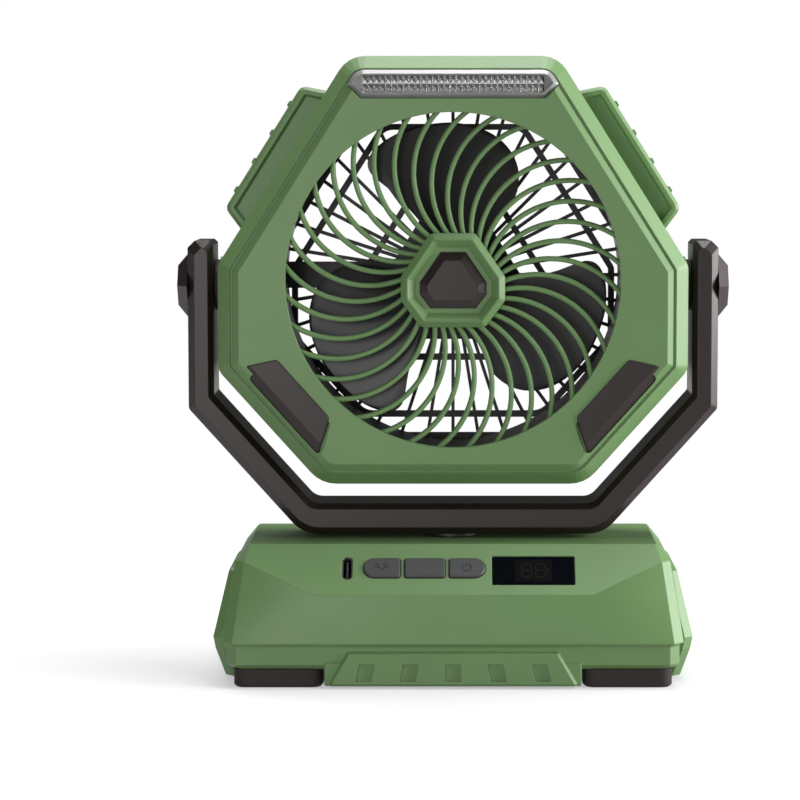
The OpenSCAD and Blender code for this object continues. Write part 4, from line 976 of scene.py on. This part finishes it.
class FAN_OT_case(bpy.types.Operator):
    """Build the base's case: an upper shell with holes for its keys, and a lower tray with two bumpers"""

    bl_idname = "fan.case"
    bl_label = "Case"

    smooth = 0.3
    room = 0.2 * MM
    key_flange, key_half_h = 0.5 * MM, 4.0 * MM
    key_round, key_end_round = 1.2 * MM, 4.15 * MM
    port_half_w, port_half_h, port_round = 1.8 * MM, 4.7 * MM, 1.6 * MM
    cover_half_w, cover_half_h, cover_round = 14.2 * MM, 5.9 * MM, 0.5 * MM
    cover_thick, cover_bevel = 1.2 * MM, 0.2 * MM
    hole_steps = 8
    post_hole, post_sides = 6.6 * MM, 64
    screw_bore, screw_wall, screw_sides = 1.3 * MM, 1.6 * MM, 32
    fold_across, fold_up = 20 * MM, 12 * MM
    skirt_rows = ((6.5, 3.0), (8.1, 1.4), (14.4, 1.4), (15.5, 0.5))
    skirt_inside = ((8.9, 5.4), (10.5, 3.8), (15.5, 3.8))
    apron_half, apron_high, apron_front, apron_bevel = 44.5 * MM, 9.0 * MM, 40.9 * MM, 0.4 * MM
    bumper_half, bumper_top_half, bumper_low, bumper_high = 43.3 * MM, 36.4 * MM, 0.8 * MM, 12.7 * MM
    bumper_back, bumper_front, bumper_bevel, bumper_round = 35.0 * MM, 41.95 * MM, 0.8 * MM, 0.8 * MM
    slot_count, slot_pitch, slot_half_w, slot_lean = 5, 15.2 * MM, 2.7 * MM, 0.6 * MM
    slot_low, slot_high, slot_deep = 2.6 * MM, 8.5 * MM, 1.1 * MM

    def corners(self, quarter, z, inset=0.0):
        """Twelve corners of the case at a height, counterclockwise from the front's right part."""
        front = [(x - (inset if k else 0), inset - y) for k, (x, y) in enumerate(quarter)]
        right = front + [(x, -y) for x, y in reversed(front)]
        left = [(-x, y) for x, y in reversed(right)]
        return [Vector((x, y, z)) * MM for x, y in right + left]

    def skin(self, bm, rings):
        """Joins rings of twelve corners, and leaves the middle of the front open above the second ring.

        The faces beside the middle of the front and the back are bent, so each is two triangles. Their
        folds meet where the crease of the middle ends, on the second ring.
        """
        half = len(rings[0]) // 2
        for pair, (low, high) in enumerate(zip(rings, rings[1:])):
            for i in range(2 * half):
                j = (i + 1) % (2 * half)
                if pair and j == 0:
                    continue
                if pair < 2 and {i % half, j % half} in ({0, 1}, {half - 2, half - 1}):
                    from_middle = i % half == 0
                    if from_middle == (pair == 0):
                        triangles = ((low[i], low[j], high[i]), (low[j], high[j], high[i]))
                    else:
                        triangles = ((low[i], low[j], high[j]), (low[i], high[j], high[i]))
                    for triangle in triangles:
                        bm.faces.new(triangle)
                else:
                    bm.faces.new((low[i], low[j], high[j], high[i]))

    def panel_holes(self):
        """Outlines of the holes for the keys, the port and the display, on a plane through the origin."""
        holes = []
        for node, left, right in (
                ("button_light", self.key_end_round, self.key_round),
                ("button_mode", self.key_round, self.key_round),
                ("button_power", self.key_round, self.key_end_round)):
            middle, size = nearby(node)
            half_w = size.x / 2 - self.key_flange + self.room
            holes.append((middle, half_w, self.key_half_h + self.room, [right, right, left, left]))
        holes.append((nearby("usb_socket")[0], self.port_half_w, self.port_half_h, [self.port_round] * 4))
        holes.append((
            cover_middle(), self.cover_half_w + self.room, self.cover_half_h + self.room,
            [self.cover_round] * 4))
        outlines = []
        for middle, half_w, half_h, radii in holes:
            place = on_panel(middle, 0)
            shape = rounded(upright(half_w, half_h), radii, 0.0, self.hole_steps)
            outlines.append([place(*p) for p in shape])
        return outlines

    def upper(self):
        """The upper shell: its outer and inner skin, joined at the rim and round each opening."""
        bm = bmesh.new()
        holes = self.panel_holes()
        out = panel_frame()[2]
        made = []
        for rows in (CASE_RINGS, CASE_INSIDE):
            rings = [[bm.verts.new(p) for p in self.corners(quarter, z)] for z, quarter in rows]
            self.skin(bm, rings)
            level = rings[1][0].co.dot(out)
            panel = rings[1:5] if rows is CASE_INSIDE else rings[1:4]
            edge = [ring[0] for ring in panel] + [ring[-1] for ring in reversed(panel)]
            cuts = [[bm.verts.new(p + out * level) for p in hole] for hole in holes]
            fill(bm, edge, cuts)
            if rows is CASE_RINGS:
                bm.faces.new((rings[3][-1], rings[3][0], rings[4][0], rings[4][-1]))
            top = rings[-1]
            opening = level_ring(bm, 0, 0, top[0].co.z, self.post_hole, self.post_sides)
            fill(bm, top, [opening])
            made.append([rings[0], opening, *cuts])
        for outer, inner in zip(*made):
            bridge(bm, outer, inner)
        for low, high in islands("base_screws"):
            spot = (low + high) / 2
            tube(bm, spot.x, spot.y, CASE_RINGS[0][0] * MM, CASE_INSIDE[-1][0] * MM, self.screw_bore,
                 self.screw_bore + self.screw_wall, self.screw_sides)
        case = piece("base_upper_case", bm, "base", "green_plastic", "green", smooth_angle=self.smooth)
        self.hide_folds(case)
        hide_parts("base_upper_shell")

    def hide_folds(self, case):
        """Takes the sharp mark off the long slanted edges, which only split a bent face."""
        verts = case.data.vertices
        for edge in case.data.edges:
            span = verts[edge.vertices[0]].co - verts[edge.vertices[1]].co
            if abs(span.x) > self.fold_across and abs(span.z) > self.fold_up:
                edge.use_edge_sharp = False

    def bumper(self, bm, side):
        """One bumper with its slots, on its apron, at the front (-1) or the back (1)."""
        def block(low_half, high_half, high, front, bevel, caps):
            return raised(
                bm, lambda x, z, y: (x, side * y, z),
                both_sides([(low_half, self.bumper_low), (high_half, high)]), [self.bumper_round] * 4,
                ((0, self.bumper_back), (0, front - bevel), (bevel, front)), caps=caps)

        block(self.apron_half, self.apron_half, self.apron_high, self.apron_front, self.apron_bevel, True)
        rows = block(
            self.bumper_half, self.bumper_top_half, self.bumper_high, self.bumper_front, self.bumper_bevel,
            False)
        bm.faces.new(rows[0])
        cuts = []
        for k in range(self.slot_count):
            x = (k - (self.slot_count - 1) / 2) * self.slot_pitch
            lean = -self.slot_lean if x < 0 else self.slot_lean if x > 0 else 0
            flat = [
                (x + a * self.slot_half_w - b * lean, self.slot_low if b < 0 else self.slot_high)
                for a, b in ((-1, -1), (1, -1), (1, 1), (-1, 1))]
            front, back = (
                [bm.verts.new((px, side * y, pz)) for px, pz in flat]
                for y in (self.bumper_front, self.bumper_front - self.slot_deep))
            bridge(bm, front, back)
            bm.faces.new(back)
            cuts.append(front)
        fill(bm, rows[-1], cuts)

    def lower(self):
        """The lower tray, made the same way with holes for the screws, and a bumper on each long side."""
        bm = bmesh.new()
        quarter = CASE_RINGS[0][1]
        made = []
        for rows in (self.skirt_rows, self.skirt_inside):
            rings = [[bm.verts.new(p) for p in self.corners(quarter, z, inset)] for z, inset in rows]
            for low, high in zip(rings, rings[1:]):
                bridge(bm, low, high)
            cuts = []
            for low, high in islands("base_screws"):
                middle, radius = (low + high) / 2, (high.x - low.x) / 2 + self.room
                cuts.append(level_ring(bm, middle.x, middle.y, rings[0][0].co.z, radius, self.screw_sides))
            fill(bm, rings[0], cuts)
            made.append([rings[-1], *cuts])
        for outer, inner in zip(*made):
            bridge(bm, outer, inner)
        for side in (-1, 1):
            self.bumper(bm, side)
        case = piece("base_lower_case", bm, "base", "green_plastic", "green", smooth_angle=self.smooth)
        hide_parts("base_lower_shell")

    def cover(self):
        """The display's dark cover, which fills its hole in the panel."""
        place = on_panel(cover_middle(), furthest("display_window", panel_frame()[2]))
        shape = upright(self.cover_half_w, self.cover_half_h)
        bm = bmesh.new()
        raised(bm, place, shape, [self.cover_round] * 4, (
            (0, -self.cover_thick), (0, -self.cover_bevel), (self.cover_bevel, 0)))
        made = piece("display_cover", bm, "base", "display_glass", "glass", smooth_angle=self.smooth)
        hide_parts("display_window")

    def execute(self, context):
        self.upper()
        self.lower()
        self.cover()
        return {"FINISHED"}


class FAN_OT_key_icons(bpy.types.Operator):
    """Raise a small icon on the light key and the power key"""

    bl_idname = "fan.key_icons"
    bl_label = "Key icons"

    line, height = 0.42 * MM, 0.12 * MM
    ring = 1.7 * MM
    rays = (
        ((-0.55, -0.05), (-1.5, 0.15)), ((0.55, -0.05), (1.5, 0.15)),
        ((-0.42, 0.42), (-1.15, 0.95)), ((0.42, 0.42), (1.15, 0.95)))
    bulb = ((-0.4, -0.05), (0, -0.55), (0.4, -0.05))
    power_ring, power_start, power_end, power_steps = 0.9, 125, 415, 20
    power_bar = ((0, 0.25), (0, 1.15))

    def icon(self, node, body, name, lines):
        """Lays lines, given in shares of the ring's radius, on a key."""
        place = on_panel(nearby(node)[0], furthest(node, panel_frame()[2]))
        bm = bmesh.new()
        for points in lines:
            stroke(bm, place, [(self.ring * x, self.ring * y) for x, y in points], self.line, self.height)
        piece(name, bm, body, "button_plastic", "icons")

    def execute(self, context):
        self.icon("button_light", "light_key", "light_icon", [self.bulb, *self.rays])
        step = (self.power_end - self.power_start) / self.power_steps
        turns = [math.radians(self.power_start + i * step) for i in range(self.power_steps + 1)]
        arc = [(self.power_ring * math.cos(t), self.power_ring * math.sin(t)) for t in turns]
        self.icon("button_power", "power_key", "power_icon", [arc, self.power_bar])
        return {"FINISHED"}


class FAN_OT_display(bpy.types.Operator):
    """Lay the unlit digits and their darker field just over the display's cover"""

    bl_idname = "fan.display"
    bl_label = "Display"

    skin, digit_rise = 0.02 * MM, 0.032 * MM
    field_share, field_height_share, field_round = 0.46, 0.72, 0.4 * MM
    digit_w, digit_h, digit_pitch = 3.3 * MM, 5.6 * MM, 4.9 * MM
    segment, gap_share = 0.62 * MM, 0.62
    mark_shift, mark_low, mark_high, mark_share = 0.2 * MM, -0.4, 0.3, 0.8

    def execute(self, context):
        size = nearby("display_window")[1]
        place = on_panel(cover_middle(), furthest("display_window", panel_frame()[2]))
        half_w = self.field_share * size.x / 2
        half_h = self.field_height_share * Vector((0, size.y, size.z)).length / 2
        field = upright(half_w, half_h)
        bm = bmesh.new()
        raised(bm, place, field, [self.field_round] * 4, ((0, -self.skin), (0, self.skin)))
        piece("display_field", bm, "base", "display_glass", "field")

        bm = bmesh.new()
        w, h, s = self.digit_w / 2, self.digit_h / 2, self.segment
        gap = self.gap_share * s
        for centre in (-self.digit_pitch / 2, self.digit_pitch / 2):
            bars = [[(-w + gap, y), (w - gap, y)] for y in (-h, 0, h)]
            bars += [[(x, y0 + gap), (x, y0 + h - gap)] for x in (-w, w) for y0 in (-h, 0)]
            for bar in bars:
                stroke(bm, place, [(x + centre, y) for x, y in bar], s, self.digit_rise)
        side = self.digit_pitch + self.mark_shift
        mark = [(side, self.mark_low * h), (side, self.mark_high * h)]
        stroke(bm, place, mark, self.mark_share * s, self.digit_rise)
        piece("display_digits", bm, "base", "display_glass", "digits")
        return {"FINISHED"}


class FAN_OT_screws(bpy.types.Operator):
    """Build the case screws with cross recesses in their heads"""

    bl_idname = "fan.screws"
    bl_label = "Screws"

    sides, rings = 48, 30
    recess, recess_share = 0.9 * MM, 0.8
    arm, arm_run = 0.62, 0.15
    arm_width, arm_side_run = 0.17, 0.07
    dome_share = 0.35
    flat_head, round_head = 0.35 * MM, 1.6 * MM

    def head_dip(self, x, y):
        """Share of the recess's depth at a point of a head of radius 1."""
        across, along = sorted((abs(x), abs(y)))
        return min(
            1.0, max(0.0, (self.arm - along) / self.arm_run),
            max(0.0, (self.arm_width - across) / self.arm_side_run))

    def screw(self, bm, head, way, head_r, head_t, shank_r, length):
        """One screw whose head's top is at a point, with its shank running along a direction."""
        side = way.orthogonal().normalized()
        other = way.cross(side)
        depth = min(self.recess, self.recess_share * head_t)

        def at(p, down):
            return head + side * p.x + other * p.y + way * down

        rows = []
        for k in range(1, self.rings + 1):
            share = k / self.rings
            dome = self.dome_share * head_t * share ** 4
            rows.append([
                at(head_r * p, dome + depth * self.head_dip(p.x, p.y)) for p in circle(share, self.sides)])
        for radius, down in ((head_r, head_t), (shank_r, head_t), (shank_r, length)):
            rows.append([at(p, down) for p in circle(radius, self.sides)])
        loft(bm, rows)

    def execute(self, context):
        for node, body, way, head_t in (
                ("head_screws", "head", Vector((0, -1, 0)), self.flat_head),
                ("base_screws", "base", Vector((0, 0, 1)), self.round_head)):
            bm = bmesh.new()
            for low, high in islands(node):
                middle, size = (low + high) / 2, high - low
                length = abs(size.dot(way))
                self.screw(bm, middle - way * length / 2, way, size.x / 2, head_t, size.x / 4, length)
            made = piece(node + "_crossed", bm, body, "steel", "steel", smooth_angle=0.5)
            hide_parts(node)
        return {"FINISHED"}


class FAN_OT_stage(bpy.types.Operator):
    """Build the floor, the lamps, the sky and the camera"""

    bl_idname = "fan.stage"
    bl_label = "Stage"

    floor_half, floor_drop = 6.0, 0.05 * MM
    near_glow, glow_start, glow_full = 0.45, 0.12, 0.36
    aim = Vector((0, 0, 0.11))
    lamps = (
        ("side", (1.0, -0.1, 0.3), (0.7, 0.6)),
        ("top", (0.1, 0.12, 1.1), (0.9, 0.4)),
        ("back", (-0.6, 0.8, 1.2), (0.8, 0.8)),
        ("front", (-0.4, -1.3, 0.22), (0.5, 0.4)))
    picture, sensor, clip_start = 800.0, 36.0, 0.01

    def floor_material(self):
        """Pale floor. The camera, gloss and glass see it near white, and it still takes the shadow."""
        r = material("studio_floor")
        rays = [
            r.node("ShaderNodeLightPath", out=name)
            for name in ("Is Camera Ray", "Is Glossy Ray", "Is Transmission Ray")]
        seen = (rays[0] + rays[1] + rays[2]).ramped(0.0, 1.0)
        speck = r.noise(900.0)
        diffuse = r.node("ShaderNodeBsdfDiffuse", {}, {"Color": r.mix(speck, grey(0.8), grey(0.84))})
        glow = r.node("ShaderNodeEmission", {}, {"Color": grey(1.0), "Strength": 1.0})
        away = r.node("ShaderNodeVectorMath", {"operation": "LENGTH"}, {0: r.place()}, out="Value")
        share = self.near_glow + (1.0 - self.near_glow) * away.ramped(self.glow_start, self.glow_full)
        lit = r.choose(share, diffuse, glow)
        dim = r.node("ShaderNodeBsdfDiffuse", {}, {"Color": grey(0.3)})
        r.node("ShaderNodeOutputMaterial", {}, {"Surface": r.choose(seen, dim, lit)})
        return r.holder

    def floor(self, scene):
        mesh = bpy.data.meshes.new("studio_floor")
        bm = bmesh.new()
        bmesh.ops.create_grid(bm, x_segments=8, y_segments=8, size=self.floor_half)
        bm.to_mesh(mesh)
        bm.free()
        mesh.materials.append(self.floor_material())
        floor = bpy.data.objects.new("studio_floor", mesh)
        floor.location.z = -self.floor_drop
        scene.collection.objects.link(floor)

    def lamp(self, scene, name, at, size, power):
        """A rectangular lamp that points at the fan."""
        lamp = bpy.data.lights.new(name, "AREA")
        lamp.shape = "RECTANGLE"
        lamp.size, lamp.size_y = size
        lamp.energy = power
        holder = bpy.data.objects.new(name, lamp)
        holder.location = at
        holder.rotation_euler = (self.aim - Vector(at)).to_track_quat("-Z", "Y").to_euler()
        scene.collection.objects.link(holder)

    def sky(self, scene):
        """Even light from all sides, which the camera sees as white."""
        scene.world = bpy.data.worlds.new("studio_sky")
        r = Recipe(scene.world)
        even = r.node(
            "ShaderNodeBackground", {}, {"Color": grey(1.0), "Strength": scene.fan_studio.sky_strength})
        white = r.node("ShaderNodeBackground", {}, {"Color": grey(1.0), "Strength": 1.0})
        seen = r.node("ShaderNodeLightPath", out="Is Camera Ray")
        r.node("ShaderNodeOutputWorld", {}, {"Surface": r.choose(seen, even, white)})

    def camera(self, scene):
        """Camera tilted down at the fan's middle height, shifted to the photograph's frame."""
        studio = scene.fan_studio
        camera = bpy.data.cameras.new("camera")
        camera.sensor_width = self.sensor
        middle_height = (CAD_BOX[0].z + CAD_BOX[1].z) / 2
        down = math.atan2(studio.eye_height - middle_height, studio.distance)
        camera.lens = camera.sensor_width * studio.distance / math.cos(down) / studio.view_width
        camera.shift_x = 0.5 - studio.middle_column / self.picture
        camera.shift_y = studio.middle_row / self.picture - 0.5
        camera.clip_start = self.clip_start
        eye = bpy.data.objects.new("camera", camera)
        eye.location = (0, -studio.distance, studio.eye_height)
        eye.rotation_euler = (math.pi / 2 - down, 0, 0)
        scene.collection.objects.link(eye)
        scene.camera = eye

    def execute(self, context):
        scene = context.scene
        self.floor(scene)
        for name, at, size in self.lamps:
            self.lamp(scene, name, at, size, getattr(scene.fan_studio, name + "_power"))
        self.sky(scene)
        self.camera(scene)
        scene.view_settings.view_transform = "Standard"
        return {"FINISHED"}


class FAN_PT_panel(bpy.types.Panel):
    """Lists the fan's steps"""

    bl_idname = "FAN_PT_panel"
    bl_label = "Camping Fan"
    bl_space_type = "VIEW_3D"
    bl_region_type = "UI"
    bl_category = "Camping Fan"

    def draw(self, context):
        column = self.layout.column()
        for step in STEPS:
            column.operator(step.bl_idname)


STEPS = [
    FAN_OT_finishes, FAN_OT_blades, FAN_OT_grille, FAN_OT_light_bar, FAN_OT_boss, FAN_OT_pads, FAN_OT_yoke,
    FAN_OT_case, FAN_OT_key_icons, FAN_OT_display, FAN_OT_screws, FAN_OT_stage]
SETTINGS = {
    "fan_looks": FAN_PG_looks, "fan_fan": FAN_PG_fan, "fan_lamp": FAN_PG_lamp, "fan_studio": FAN_PG_studio}
CLASSES = [*SETTINGS.values(), *STEPS, FAN_PT_panel]


def register():
    for cls in CLASSES:
        bpy.utils.register_class(cls)
    for name, group in SETTINGS.items():
        setattr(bpy.types.Scene, name, PointerProperty(type=group))


def unregister():
    for name in reversed(SETTINGS):
        delattr(bpy.types.Scene, name)
    for cls in reversed(CLASSES):
        bpy.utils.unregister_class(cls)


def main():
    register()
    for step in STEPS:
        getattr(bpy.ops.fan, step.bl_idname.split(".")[1])()


if __name__ == "__main__":
    main()
